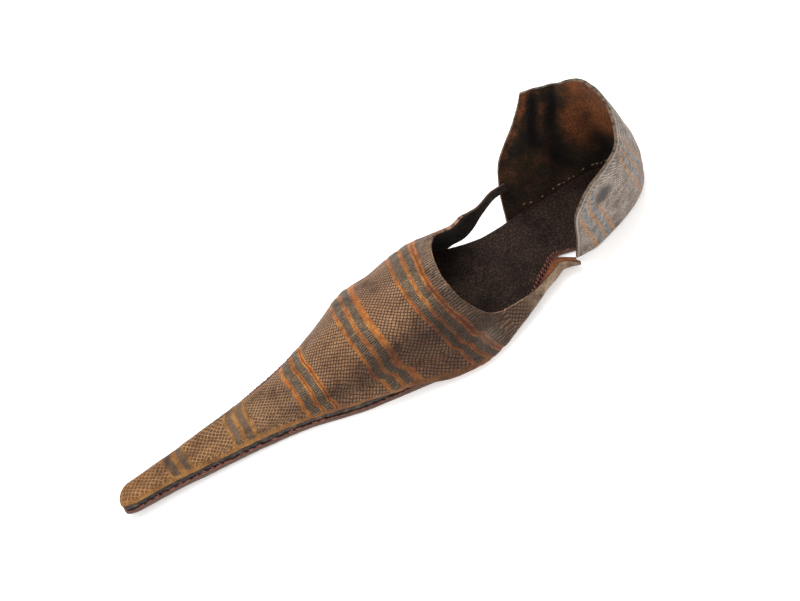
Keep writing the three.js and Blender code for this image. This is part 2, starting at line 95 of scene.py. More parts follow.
SOLE_ROWS = table(
    "along of medial lateral",
    (0, HEEL_WIDTH, 0.38, -0.42),
    (0.047, HEEL_WIDTH, 0.425, -0.43),
    (0.088, HEEL_WIDTH, 0.495, -0.44),
    (0.126, HEEL_WIDTH, 0.54, -0.445),
    (0.152, HEEL_WIDTH, 0.49, -0.46),
    (0.192, WAIST_WIDTH, 0.42, -0.51),
    (0.227, WAIST_WIDTH, 0.585, -0.485),
    (0.259, BALL_WIDTH, 0.37, -0.24),
    (0.287, BALL_WIDTH, 0.433, -0.276),
    (0.319, BALL_WIDTH, 0.493, -0.34),
    (0.347, BALL_WIDTH, 0.54, -0.39),
    (0.382, BALL_WIDTH, 0.567, -0.43),
    (0.426, BALL_WIDTH, 0.54, -0.435),
    (0.467, BALL_WIDTH, 0.493, -0.418),
    (0.502, BALL_WIDTH, 0.455, -0.393),
    (0.543, BALL_WIDTH, 0.415, -0.363),
    (0.58, BALL_WIDTH, 0.378, -0.333),
    (0.618, BALL_WIDTH, 0.322, -0.288),
    (0.653, BALL_WIDTH, 0.264, -0.24),
    (0.691, BALL_WIDTH, 0.216, -0.21),
    (0.732, POINT_WIDTH, 0.64, -0.68),
    (0.77, POINT_WIDTH, 0.53, -0.62),
    (0.808, POINT_WIDTH, 0.45, -0.54),
    (0.852, POINT_WIDTH, 0.355, -0.48),
    (0.9, POINT_WIDTH, 0.26, -0.455),
    (0.94, POINT_WIDTH, 0.2, -0.43),
    (1, POINT_WIDTH, 0.16, -0.36),
)
VAMP_ROWS = table(
    "along of height boxy sag",
    (0.15, INSTEP_HEIGHT, 1, 0, 0.5),
    (0.175, INSTEP_HEIGHT, 1, 0, 0.8),
    (0.2, INSTEP_HEIGHT, 1, 0, 1),
    (0.25, INSTEP_HEIGHT, 1, 0, 0.62),
    (0.3, INSTEP_HEIGHT, 1, 0, 0.36),
    (0.36, INSTEP_HEIGHT, 1, 0, 0.15),
    (0.406, INSTEP_HEIGHT, 0.97, 0, 0.19),
    (0.444, INSTEP_HEIGHT, 0.88, 0, 0.19),
    (0.484, INSTEP_HEIGHT, 0.77, 0, 0.15),
    (0.54, INSTEP_HEIGHT, 0.62, 0, 0.12),
    (0.58, INSTEP_HEIGHT, 0.48, 0.05, 0.1),
    (0.62, INSTEP_HEIGHT, 0.36, 0.1, 0.05),
    (0.66, INSTEP_HEIGHT, 0.28, 0.25, 0.05),
    (0.73, POINT_HEIGHT, 1.25, 0.6, 0),
    (0.81, POINT_HEIGHT, 1.05, 0.9, 0),
    (1, POINT_HEIGHT, 0.9, 0.9, 0),
)
THROAT_ROWS = table(
    "angle along",
    (24, 0.32), (30, 0.338), (38, 0.351), (46, 0.36), (58, 0.368), (74, 0.37), (90, 0.365),
    (105, 0.356), (122, 0.341), (135, 0.33),
)
MEDIAL_WING_ROWS = table(
    "place top stray",
    (0, 0.24, 0.4), (0.12, 0.32, 0.16), (0.22, 0.33, 0), (0.45, 0.34, 0), (0.65, 0.4, 0), (0.82, 0.5, 0),
    (1, 0.62, 0),
)
LATERAL_WING_ROWS = table(
    "place bottom top drawn",
    (0, 0.76, 0.91, 1), (0.16, 0.74, 0.9, 1), (0.42, 0.62, 0.83, 0.78), (0.55, 0.51, 0.9, 0.6),
    (0.68, 0.37, 1.03, 0.4), (0.88, 0.15, 1.11, 0), (1, 0, 1.06, 0),
)
QUARTER_ROWS = table(
    "side belly stray height hem",
    (-1, 0, 0, 0.99, 0.01), (-0.85, 0, 0, 0.985, 0), (-0.64, 0.1, 0, 0.99, 0), (-0.47, 0.35, 0, 1.04, 0),
    (-0.27, 0.75, 0, 1.08, 0), (0, 1, 0, 1.05, 0), (0.3, 1, 0, 0.985, 0), (0.55, 0.55, 0, 0.96, 0),
    (0.8, 0, 0.02, 0.98, 0), (1, 0, 0.1, 0.97, 0.01),
)
FRONT_EDGE_ROWS = table(
    "up lateral medial",
    (0, 1, 1), (0.15, 0.962, 0.977), (0.27, 0.933, 0.96), (0.36, 0.905, 0.953), (0.467, 0.864, 0.945),
    (0.546, 0.82, 0.938), (0.68, 0.692, 0.92), (0.78, 0.587, 0.88), (0.92, 0.476, 0.78), (1, 0.43, 0.67),
)
THROAT_BACK = THROAT_ROWS["along"][0] * LENGTH
WING_BACK = THROAT_ROWS["along"][-1] * LENGTH


def follow(rows, key, column, at, sized=False):
    """A smooth curve through one column of a table, which never overshoots between two rows."""
    places, values = rows[key], rows[column] * (rows["of"] if sized else 1)
    slopes = np.diff(values) / np.diff(places)
    before, after = slopes[:-1], slopes[1:]
    turns = before * after > 0
    mean = np.where(turns, 2 * before * after / np.where(turns, before + after, 1), 0)
    tangents = np.concatenate([slopes[:1], mean, slopes[-1:]])
    at = np.clip(at, places[0], places[-1])
    i = np.clip(np.searchsorted(places, at, "right") - 1, 0, len(slopes) - 1)
    span = places[i + 1] - places[i]
    t = (at - places[i]) / span
    ends = values[i] * (1 + 2 * t) * (1 - t) ** 2 + values[i + 1] * (3 - 2 * t) * t**2
    return ends + span * t * (1 - t) * (tangents[i] * (1 - t) - tangents[i + 1] * t)


def blend(a, b, share):
    """The value a share of the way from a to b."""
    return a + (b - a) * share


def smooth(t):
    """An even start and stop between 0 and 1."""
    t = np.clip(t, 0, 1)
    return t * t * (3 - 2 * t)


def rounding(x):
    """Quarter ellipse that rounds off the two ends of the sole."""
    heel = 1 - np.clip(x / HEEL_ROUND, 0, 1)
    tip = 1 - np.clip((LENGTH - x) / TIP_ROUND, 0, 1)
    return np.sqrt(1 - heel**2) * np.sqrt(1 - tip**2)


def sole_edge(side, x):
    """How far the sole's edge lies from the middle line on one side."""
    return follow(SOLE_ROWS, "along", side, x / LENGTH, True) * rounding(x)


def beside_sole(side, x, distance):
    """A point off the sole's edge, square to it, by a distance outwards."""
    behind, ahead = np.maximum(0, x - NUDGE), np.minimum(LENGTH, x + NUDGE)
    dx, dy = ahead - behind, sole_edge(side, ahead) - sole_edge(side, behind)
    size = np.hypot(dx, dy)
    outwards = distance if side == "medial" else -distance
    return x - dy / size * outwards, sole_edge(side, x) + dx / size * outwards


def lift(x):
    """How far the sole stands off the ground: under the arch of the foot, and at the toe."""
    arch = np.clip((x - ARCH_BACK) / (ARCH_FRONT - ARCH_BACK), 0, 1)
    spring = np.maximum(0, x - TREAD_END) / (LENGTH - TREAD_END)
    return ARCH_RISE * np.sin(math.pi * arch) ** 2 + TOE_SPRING * spring**2


def vamp_foot(side, x):
    """Foot of the vamp's outer face: round the sole's edge, and further forward on the rand."""
    climbed = np.clip((x - WRAP_END) / WRAP_CLIMB, 0, 1)
    moved = smooth((climbed - 0.5) / 0.5)
    edge = beside_sole(side, x, blend(WRAP_GAP + LEATHER, -UPPER_INSET * rounding(x), moved))
    return edge[0], edge[1], blend(HEM_HEIGHT, VAMP_FOOT, smooth(climbed / 0.5))


def arch_height(x, angle):
    """Height above the seam at an angle of the vamp's arch."""
    boxy = follow(VAMP_ROWS, "along", "boxy", x / LENGTH)
    tip = np.sqrt(1 - (1 - np.clip((LENGTH - x) / TIP_ROUND, 0, 1)) ** 2)
    top = follow(VAMP_ROWS, "along", "height", x / LENGTH, True) * tip
    return top * np.maximum(np.sin(angle), 0) ** (1 / (1 + boxy))


def vamp_point(x, angle, stray=0):
    """A point on the vamp's outer face, from angle 0 at the inner seam over the ridge to pi."""
    boxy = follow(VAMP_ROWS, "along", "boxy", x / LENGTH)
    medial, lateral = vamp_foot("medial", x), vamp_foot("lateral", x)
    inner = angle < math.pi / 2
    height = arch_height(x, angle)
    swell = height / SLUMP_HEIGHT * np.exp(1 - height / SLUMP_HEIGHT)
    sag = np.where(inner, follow(VAMP_ROWS, "along", "sag", x / LENGTH) * WING_SLUMP * swell, 0)
    spread = np.abs(np.cos(angle)) ** (1 / (1 + boxy))
    place = [blend((m + l) / 2, np.where(inner, m, l), spread) for m, l in zip(medial[:2], lateral[:2])]
    return np.stack([place[0], place[1] + sag + stray, medial[2] + lift(x) + height], -1)


def quarter_point(side, up):
    """A point on the heel piece's outer face: side -1 to 1 round the heel, up 0 to 1."""
    side, up = np.broadcast_arrays(np.asarray(side, float), np.asarray(up, float))
    outer = side < 0
    turn = math.pi / 2 * np.abs(side)
    row = {name: follow(QUARTER_ROWS, "side", name, side) for name in ("belly", "stray", "height", "hem")}
    out = []
    for edge, reach, outwards in (("lateral", LATERAL_REACH, -1), ("medial", MEDIAL_REACH, 1)):
        x = reach * follow(FRONT_EDGE_ROWS, "up", edge, up) * (1 - np.cos(turn))
        foot = beside_sole(edge, x, WRAP_GAP + LEATHER + COLLAR_RADIUS * row["stray"] * (1 - up))
        collar_x = COLLAR_SET + x * (1 - COLLAR_SET / reach)
        around = np.sqrt(1 - (1 - np.minimum(1, (collar_x - COLLAR_SET) / COLLAR_RADIUS)) ** 2)
        collar_y = (outwards * COLLAR_RADIUS + COLLAR_SHIFT) * around
        belly = HEEL_SWELL * row["belly"] * np.sin(math.pi * up**SWELL_CURVE)
        hem = HEM_HEIGHT + QUARTER_HEIGHT * row["hem"] * (1 - up)
        out.append(np.stack([
            blend(foot[0], collar_x, up) - belly * np.cos(turn),
            blend(foot[1], collar_y, up) + outwards * belly * np.sin(turn),
            hem + lift(x) * (1 - up) + QUARTER_HEIGHT * row["height"] * up,
        ], -1))
    return np.where(outer[..., None], out[0], out[1])


def lateral_wall_at(x, z):
    """Where the heel piece's outer face stands sideways at a place and a height."""
    side, up = -np.ones_like(x), np.zeros_like(x)
    for _ in range(4):
        up = np.clip(up + (z - quarter_point(side, up)[..., 2]) / QUARTER_HEIGHT, 0, 1)
        reach = LATERAL_REACH * follow(FRONT_EDGE_ROWS, "up", "lateral", up)
        side = -2 / math.pi * np.arccos(np.maximum(0, 1 - x / reach))
    return quarter_point(side, up)[..., 1]


# Bands tooled across the vamp, as shares of the way from the throat's edge to the tip, and their half widths.
COLOURED_LINES = table(
    "at half",
    (0.037, 0.0078), (0.068, 0.0052), (0.095, 0.0052), (0.2125, 0.0085), (0.248, 0.0055), (0.2795, 0.005),
    (0.406, 0.005), (0.4365, 0.0058), (0.4705, 0.005),
)
RAISED_STRIPES = table(
    "at half",
    (0.015, 0.015), (0.0528, 0.0095), (0.082, 0.0085), (0.232, 0.0098), (0.264, 0.0098),
    (0.421, 0.0095), (0.4535, 0.0108),
)
INKED_BARS = table("at half", (0.614, 0.0088), (0.645, 0.0088), (0.806, 0.0095), (0.839, 0.0095))
TANNED_FIELDS = table("at half", (0.6295, 0.0335), (0.8225, 0.033))

# How far the bands bend towards the tip down the sides of the foot, by angle in degrees over the arch.
BEND_ANGLES = (0, 12, 24, 36, 44, 54, 64, 84, 102, 124, 138, 160, 180)
BAND_BENDS = table(
    "share " + " ".join(f"a{angle}" for angle in BEND_ANGLES),
    (0, 0, 0, 0, 0, 0, 0, 0, 0, 0, 0, 0, 0, 0),
    (0.037, 0.012, 0.028, 0.034, 0.011, 0.003, 0, -0.002, 0, 0.003, 0.018, 0.022, 0.026, 0.028),
    (0.068, 0.012, 0.027, 0.038, 0.016, 0.008, 0.003, 0, 0, 0.004, 0.02, 0.028, 0.03, 0.03),
    (0.095, 0.018, 0.03, 0.035, 0.014, 0.005, 0, 0, 0.003, 0.012, 0.026, 0.034, 0.034, 0.034),
    (0.245, 0.036, 0.037, 0.04, 0.028, 0.011, 0.003, 0, 0.001, 0.007, 0.023, 0.03, 0.032, 0.032),
    (0.44, 0.04, 0.04, 0.039, 0.022, 0.0125, 0.003, 0, 0.001, 0.012, 0.023, 0.028, 0.03, 0.03),
    (0.63, 0.039, 0.039, 0.037, 0.026, 0.018, 0.012, 0.009, 0.008, 0.012, 0.012, 0.014, 0.016, 0.018),
    (0.82, 0.013, 0.011, 0.006, 0.002, 0, -0.003, -0.004, -0.003, 0, 0.004, 0.005, 0.005, 0.005),
    (1, 0, 0, 0, 0, 0, 0, 0, 0, 0, 0, 0, 0, 0),
)

# Upright bands tooled into the heel piece, in shares of the way round each side from the back.
HEEL_LINES = table(
    "at half", (0.209, 0.01), (0.282, 0.011), (0.358, 0.012), (0.722, 0.012), (0.797, 0.012), (0.872, 0.01)
)
HEEL_STRIPES = table("at half", (0.243, 0.021), (0.32, 0.023), (0.759, 0.022), (0.835, 0.022))

# Soft folds pressed into the vamp and the heel piece by wear: where each runs, how far, how wide and how
# deep, in shares of the grid and millimetres. A negative depth is a ridge.
VAMP_FOLDS = table(
    "share0 angle0 share1 angle1 width depth",
    (0.0, 30, 0.16, 40, 5, 0.5), (0.05, 52, 0.3, 44, 6, 0.6), (0.2, 118, 0.42, 128, 6, 0.5),
    (0.26, 30, 0.5, 42, 6, 0.5), (0.3, 70, 0.5, 84, 7, 0.35), (0.5, 60, 0.62, 70, 4, 0.3),
    (0.02, 100, 0.18, 112, 7, 0.4), (0.66, 88, 0.96, 86, 4, 0.35), (0.1, 20, 0.2, 62, 5, -0.3),
)
HEEL_FOLDS = table(
    "side0 up0 side1 up1 width depth",
    (-0.86, 0.95, -0.74, 0.5, 4, 1.2), (-0.66, 0.98, -0.6, 0.45, 5, 1.1), (-0.42, 0.7, -0.34, 0.35, 6, 0.5),
    (-0.34, 0.3, -0.26, 0.08, 6, 0.8), (-0.16, 0.95, -0.1, 0.6, 5, -0.4), (0.5, 0.95, 0.62, 0.4, 6, 0.2),
    (0.18, 0.9, 0.2, 0.55, 4, 0.3), (-0.93, 0.75, -0.82, 0.35, 4, -0.7), (0.86, 0.6, 0.9, 0.2, 5, 0.2),
    (-0.68, 0.42, -0.58, 0.15, 5, 1.0),
)
VAMP_RUN = 200 * MM
HEEL_RUN = 74.5 * MM


def band_bend(share, angle):
    """How far a band has bent towards the tip at a place on the vamp, as a share."""
    columns = [follow(BAND_BENDS, "share", f"a{at}", share) for at in BEND_ANGLES]
    at = np.degrees(angle)
    bend = np.zeros(np.broadcast(share, angle).shape)
    last = len(columns) - 1
    for k in range(last):
        low, high = BEND_ANGLES[k], BEND_ANGLES[k + 1]
        before, after = max(k - 1, 0), min(k + 2, last)
        leave = (columns[k + 1] - columns[before]) * (high - low) / (high - BEND_ANGLES[before])
        arrive = (columns[after] - columns[k]) * (high - low) / (BEND_ANGLES[after] - low)
        t = np.clip((at - low) / (high - low), 0, 1)
        near = columns[k] * (1 + 2 * t) * (1 - t) ** 2 + leave * t * (1 - t) ** 2
        far = columns[k + 1] * t * t * (3 - 2 * t) - arrive * t * t * (1 - t)
        bend = np.where((at >= low) & (at <= high), near + far, bend)
    return bend


def straightened(share, angle):
    """The place of a point between the bands once their bend is taken out."""
    found = share
    for _ in range(3):
        found = share - band_bend(np.clip(found, 0, 1), angle)
    return np.where(share < 0, share, found)


def heel_lean(side):
    """How far the heel piece's bands lean back per height of the wall."""
    return blend(0.21, 0.155, smooth((np.abs(side) - 0.4) / 0.4))


def embossed(bands, at, softness=0.25):
    """1 on the bands of a table and 0 beside them, with soft shoulders."""
    height = np.zeros_like(at)
    for middle, half in zip(bands["at"], bands["half"]):
        height = np.maximum(height, smooth((half - np.abs(at - middle)) / (half * softness) * 0.5 + 0.5))
    return height


def grooved(bands, at):
    """1 in the middle of each band of a table, falling off to its edges."""
    depth = np.zeros_like(at)
    for middle, half in zip(bands["at"], bands["half"]):
        depth = np.maximum(depth, np.exp(-(((at - middle) / (half * 0.6)) ** 2)))
    return depth


def folded(folds, names, across, up, scale):
    """Depth of the folds of a table at places of a grid, in metres."""
    depth = np.zeros(np.broadcast(across, up).shape)
    x, y = across * scale[0], up * scale[1]
    for i in range(len(folds["depth"])):
        x0, y0, x1, y1 = (folds[name][i] * scale[k % 2] for k, name in enumerate(names))
        length = (x1 - x0) ** 2 + (y1 - y0) ** 2
        along = np.clip(((x - x0) * (x1 - x0) + (y - y0) * (y1 - y0)) / length, 0, 1)
        off = np.hypot(x - blend(x0, x1, along), y - blend(y0, y1, along)) / folds["width"][i]
        bow = 0.6 + 0.4 * np.sin(math.pi * along)
        depth = depth + folds["depth"][i] * MM * bow * np.exp(-(off**2))
    return depth


def uneven(points, size, seed):
    """Smooth unevenness between -1 and 1 at points, for a bump size in metres."""
    flat = np.asarray(points).reshape(-1, 3) / size + seed * 17.3
    values = [noise.noise(Vector(p)) for p in flat.tolist()]
    return np.array(values).reshape(np.asarray(points).shape[:-1])


# Places the shape's own zero, the back of the sole's middle line, in the model's frame.
SOLE_LOW, SOLE_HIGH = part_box("sole")
WIDEST_INNER = sole_edge("medial", np.linspace(0, LENGTH, 4001)).max()
HOME = np.array([SOLE_LOW.x, SOLE_HIGH.y - WIDEST_INNER, 0])


def quads_of(index):
    """The four-sided faces of a grid of point numbers."""
    a, b, c, d = index[:-1, :-1], index[:-1, 1:], index[1:, 1:], index[1:, :-1]
    return np.stack([a, b, c, d], -1).reshape(-1, 4)


def point_normals(points, quads):
    """The direction square to a sheet at each of its points."""
    diagonals = np.cross(points[quads[:, 2]] - points[quads[:, 0]], points[quads[:, 3]] - points[quads[:, 1]])
    normals = np.zeros_like(points)
    for corner in range(4):
        np.add.at(normals, quads[:, corner], diagonals)
    return normals / np.maximum(np.linalg.norm(normals, axis=1), 1e-12)[:, None]


def free_edges(quads):
    """The edges of a sheet that only one face has, each in that face's direction."""
    sides = np.concatenate([quads[:, [k, (k + 1) % 4]] for k in range(4)])
    sides = sides[sides[:, 0] != sides[:, 1]]
    there = set(map(tuple, sides.tolist()))
    return np.array([(a, b) for a, b in there if (b, a) not in there])


def tidy_faces(faces):
    """Faces as lists without the repeated corners that closed ends have."""
    out = []
    for face in faces.tolist():
        corners = [c for k, c in enumerate(face) if c != face[k - 1]]
        if len(set(corners)) > 2:
            out.append(corners)
    return out


def leather_piece(name, node, made, finishes):
    """A closed piece of leather as an object: its points, faces, finish of each face and flat coordinates."""
    points, faces, face_finish, maps = made
    mesh = bpy.data.meshes.new(name)
    mesh.from_pydata((points + HOME).tolist(), [], faces)
    for finish in finishes:
        mesh.materials.append(finish)
    mesh.polygons.foreach_set("material_index", np.asarray(face_finish, np.int32))
    mesh.polygons.foreach_set("use_smooth", np.ones(len(faces), bool))
    corners = np.zeros(len(mesh.loops), np.int32)
    mesh.loops.foreach_get("vertex_index", corners)
    for title, values in maps.items():
        layer = mesh.uv_layers.new(name=title)
        layer.uv.foreach_set("vector", np.asarray(values, np.float32)[corners].ravel())
    mesh.validate()
    mesh.update()
    piece = bpy.data.objects.new(name, mesh)
    bpy.context.scene.collection.objects.link(piece)
    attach(piece, "root")
    if node:
        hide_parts(node)
    return piece


CUT_BULGE = 0.14 * MM
CUT_RAG = 0.22 * MM


def leather_sheet(points, quads, relief, flesh_relief, level, maps):
    """Gives a sheet of leather its thickness: grain side, flesh side and a soft uneven cut edge."""
    count = len(points)
    normals = point_normals(points, quads)
    inward = normals.copy()
    inward[level, 2] = 0
    inward /= np.linalg.norm(inward, axis=1)[:, None]
    outer = points + normals * relief[:, None]
    inner = points - inward * LEATHER + normals * flesh_relief[:, None]
    edges = free_edges(quads)
    away = np.zeros_like(points)
    along = points[edges[:, 1]] - points[edges[:, 0]]
    for end in (0, 1):
        np.add.at(away, edges[:, end], np.cross(along, normals[edges[:, end]]))
    rim = np.unique(edges)
    away = away[rim] / np.linalg.norm(away[rim], axis=1)[:, None]
    rag = CUT_BULGE + CUT_RAG * np.abs(uneven(points[rim], 2.2 * MM, 3))
    rings = [blend(outer[rim], inner[rim], share) + away * (rag * swell)[:, None]
             for share, swell in ((0.14, 0.7), (0.5, 1), (0.86, 0.7))]
    number = np.zeros(count, int)
    number[rim] = np.arange(len(rim))
    a, b = edges[:, 0], edges[:, 1]
    ladder = [(a, b)]
    for ring in range(3):
        first = 2 * count + ring * len(rim)
        ladder.append((first + number[a], first + number[b]))
    ladder.append((a + count, b + count))
    strips = [np.stack([q, p, r, s], -1) for (p, q), (r, s) in zip(ladder, ladder[1:])]
    shown = np.concatenate([quads, quads[:, ::-1] + count, *strips])
    finish = np.repeat([0, 1, 2], [len(quads), len(quads), len(shown) - 2 * len(quads)])
    keep = [len(set(face)) > 2 for face in shown.tolist()]
    everything = np.concatenate([outer, inner, *rings])
    maps = {title: np.concatenate([flat, flat, *[flat[rim]] * 3]) for title, flat in maps.items()}
    return everything, tidy_faces(shown[keep]), finish[keep], maps


def run_along(points, axis):
    """Distance along the lines of a grid of points, from its first point, in metres."""
    steps = np.linalg.norm(np.diff(points, axis=axis), axis=-1)
    zero = np.zeros_like(np.take(steps, [0], axis))
    return np.concatenate([zero, np.cumsum(steps, axis)], axis)


VAMP_ROWS_DRAWN = 300
ARCH_COLUMNS = 112
WING_COLUMNS_DRAWN = 16
WING_ROWS_DRAWN = 66
STRIPE_RISE = 0.2 * MM
LINE_DEPTH = 0.16 * MM
BAR_DEPTH = 0.15 * MM
TOE_PLUMP = 0.9 * MM
EDGE_DRAWN = 0.4 * MM
HEM_OVERHANG = 0.7 * MM


def vamp_folds(share, angle):
    """Depth of the vamp's folds in metres."""
    return folded(VAMP_FOLDS, ("share0", "angle0", "share1", "angle1"), share, np.degrees(angle), (200, 0.5))


def vamp_relief(points, share, angle, hem):
    """Tooling and folds on the vamp's grain side, and the folds alone for its flesh side, in metres."""
    flat = straightened(share, angle)
    tooled = STRIPE_RISE * embossed(RAISED_STRIPES, flat) - LINE_DEPTH * grooved(COLOURED_LINES, flat)
    tooled = np.where(share > 0, tooled - BAR_DEPTH * embossed(INKED_BARS, flat), 0)
    creases = vamp_folds(share, angle)
    lumps = 0.28 * MM * uneven(points, 14 * MM, 1) + 0.12 * MM * uneven(points, 5 * MM, 2)
    far = smooth((np.degrees(angle) - 84) / 36)
    plump = TOE_PLUMP * np.exp(-(((share - 0.76) / 0.07) ** 2)) * far
    drawn = EDGE_DRAWN * np.exp(-(((share - 0.52) / 0.09) ** 4)) * far
    over = HEM_OVERHANG * smooth(1.5 - hem / (3 * MM)) * smooth((share - 0.3) / 0.15)
    lumps = lumps + plump - drawn + over
    calm = smooth((1 - share) / 0.06)
    return (tooled - creases + lumps) * calm, (lumps - creases) * calm


def vamp_sheet():
    """The vamp's grid: the arch from the tip to the throat, and a wing behind it on each side."""
    corner_in, corner_out = (math.radians(THROAT_ROWS["angle"][end]) for end in (0, -1))
    angles = np.concatenate([
        np.linspace(0, corner_in, WING_COLUMNS_DRAWN + 1),
        np.linspace(corner_in, corner_out, ARCH_COLUMNS + 1)[1:],
        np.linspace(corner_out, math.pi, WING_COLUMNS_DRAWN + 1)[1:],
    ])
    back = LENGTH * follow(THROAT_ROWS, "angle", "along", np.degrees(angles))
    rows = np.linspace(0, 1, VAMP_ROWS_DRAWN + 1)
    rows = 1 - (1 - rows) * (0.82 + 0.18 * (1 - rows))
    share = np.broadcast_to(rows[:-1, None], (VAMP_ROWS_DRAWN, len(angles)))
    x = blend(back, LENGTH, share)
    around = np.broadcast_to(angles, share.shape)
    arch = vamp_point(x, around)
    sideways = run_along(arch, 1)
    ridge = np.array([np.interp(math.pi / 2, angles, row) for row in sideways])[:, None]
    across = sideways - ridge
    hem = np.minimum(sideways, sideways[:, -1:] - sideways)
    index = np.arange(arch.shape[0] * arch.shape[1]).reshape(arch.shape[:2])
    grids = [(arch, share, around, across, hem, x)]
    quads = [quads_of(index)]
    tip = index.size
    quads.append(np.stack([index[-1, :-1], index[-1, 1:], np.full(len(angles) - 1, tip)] + [
        np.full(len(angles) - 1, tip)], -1))
    tip_point = vamp_point(np.array([LENGTH]), np.array([0.0]))[None]
    one = np.ones((1, 1))
    grids.append((tip_point, one, one * math.pi / 2, one * 0, one * 0, one * LENGTH))
    used = tip + 1
    level = [*index[:, 0], *index[:, -1], tip]
    for columns, wing in ((slice(0, WING_COLUMNS_DRAWN + 1), medial_wing),
                          (slice(-WING_COLUMNS_DRAWN - 1, None), lateral_wing)):
        points, wing_angle, wing_x = wing()
        run = run_along(points, 1)
        inner = wing is medial_wing
        wing_across = across[0, 0] + run if inner else across[0, -1] - (run[:, -1:] - run)
        wing_hem = run if inner else run[:, -1:] - run
        corner = THROAT_BACK if inner else WING_BACK
        wing_share = (wing_x - corner) / (LENGTH - corner)
        number = used + np.arange(points.shape[0] * points.shape[1]).reshape(points.shape[:2])
        used += number.size
        quads.append(quads_of(np.concatenate([number[::-1], index[:1, columns]])))
        grids.append((points, wing_share, wing_angle, wing_across, wing_hem, wing_x))
        if inner:
            level += list(number[:, 0])
    points, share, angle, across, hem, x = (
        np.concatenate([np.asarray(part).reshape(-1, *np.shape(part)[2:]) for part in parts])
        for parts in zip(*grids))
    relief, flesh = vamp_relief(points, share, angle, hem)
    place = straightened(share, angle)
    maps = {
        "bands": np.stack([place, across / MM / 100], -1),
        "hem": np.stack([x / LENGTH, hem / MM / 100], -1),
        "round": np.stack([share, angle / math.pi], -1),
        "folds": np.stack([vamp_folds(share, angle) / MM / 2, share], -1),
    }
    return leather_sheet(points, np.concatenate(quads), relief, flesh, level, maps)


def medial_wing():
    """Grid of the inner wing behind the throat, from the throat back, foot to top."""
    tip = quarter_point(1, 0)[..., 0] + SEAM_GAP
    place = np.linspace(1, 0, WING_ROWS_DRAWN + 1)[1:, None]
    share = np.linspace(0, 1, WING_COLUMNS_DRAWN + 1)[None]
    x = blend(tip, THROAT_BACK, place) + 0 * share
    top = WING_HEIGHT * follow(MEDIAL_WING_ROWS, "place", "top", place)
    angle = np.arcsin(top / arch_height(x, math.pi / 2)) * share
    stray = WING_SLUMP * follow(MEDIAL_WING_ROWS, "place", "stray", place) + 0 * share
    return vamp_point(x, angle, stray), angle, x


def lateral_wing():
    """Grid of the outer wing, which narrows to the strap that laps on the heel piece."""
    place = np.linspace(1, 0, WING_ROWS_DRAWN + 1)[1:, None]
    share = np.linspace(0, 1, WING_COLUMNS_DRAWN + 1)[None]
    x = blend(LATERAL_REACH - STRAP_LAP, WING_BACK, place) + 0 * share
    top, bottom, drawn = (follow(LATERAL_WING_ROWS, "place", name, place)
                          for name in ("top", "bottom", "drawn"))
    height = WING_HEIGHT * blend(top, bottom, share)
    angle = math.pi - np.arcsin(height / arch_height(x, math.pi / 2))
    points = vamp_point(x, angle)
    wall = lateral_wall_at(points[..., 0], points[..., 2]) + LEATHER + STRAP_GAP
    points[..., 1] = blend(points[..., 1], wall, drawn)
    return points, angle, x


HEEL_STEPS = 380
HEEL_LEVELS = 110
HEEL_STRIPE_RISE = 0.55 * MM


def heel_folds(side, up):
    """Depth of the heel piece's folds in metres."""
    return folded(HEEL_FOLDS, ("side0", "up0", "side1", "up1"), side, up, (74, 60))


def heel_relief(points, side, up):
    """Tooling and folds on the heel piece's grain side, and the folds alone for its flesh side."""
    at = np.abs(side) - heel_lean(side) * up
    tooled = HEEL_STRIPE_RISE * embossed(HEEL_STRIPES, at, 0.6)
    border = np.minimum((1 - up) * QUARTER_HEIGHT, (1 - np.abs(side)) * HEEL_RUN)
    tooled = tooled * smooth((border - 1.2 * MM) / (1 * MM))
    tooled = tooled + 0.15 * MM * smooth((1 * MM - np.abs(border - 1 * MM)) / (0.8 * MM))
    creases = heel_folds(side, up)
    lumps = 0.5 * MM * uneven(points, 16 * MM, 5) + 0.2 * MM * uneven(points, 6 * MM, 6)
    still = smooth(up / 0.12)
    return (tooled + lumps + creases * 1.4) * still, (lumps + creases * 2.0) * still


def heel_sheet():
    """The heel piece's grid: one strip of leather round the heel."""
    side = np.linspace(-1, 1, HEEL_STEPS + 1)[:, None]
    up = np.linspace(0, 1, HEEL_LEVELS + 1)[None]
    points = quarter_point(side, up)
    side, up = np.broadcast_arrays(side, up)
    relief, flesh = heel_relief(points, side, up)
    index = np.arange(side.size).reshape(side.shape)
    maps = {
        "bands": np.stack([np.abs(side) - heel_lean(side) * up, up * QUARTER_HEIGHT / MM / 100], -1),
        "hem": np.stack([(1 - np.abs(side)) * HEEL_RUN / MM / 100, (1 - up) * QUARTER_HEIGHT / MM / 100], -1),
        "round": np.stack([side, up], -1),
        # The first coordinate also carries a dark band at the foot of the heel piece: painted shade where it
        # meets the sole.
        "folds": np.stack([heel_folds(side, up) / MM / 2 + 0.5 * smooth(1 - up / 0.045), up], -1),
    }
    maps = {title: flat.reshape(-1, 2) for title, flat in maps.items()}
    return leather_sheet(points.reshape(-1, 3), quads_of(index), relief.ravel(), flesh.ravel(),
                         index[:, 0], maps)


PROUD_BACK = 170 * MM
PROUD_FRONT = 250 * MM
PROUD = 3.0 * MM


def standing_proud(x):
    """How far the sole and the rand stand out beyond the upper on the outer side, before the point."""
    share = np.clip((x - PROUD_BACK) / (PROUD_FRONT - PROUD_BACK), 0, 1)
    return PROUD * np.sin(math.pi * share) ** 0.7


SEAT_SPREAD = 0.7 * MM
SEAT_FRONT = 116 * MM
SOLE_STATIONS = 300
SOLE_ACROSS = 34
EDGE_LEVELS = 9


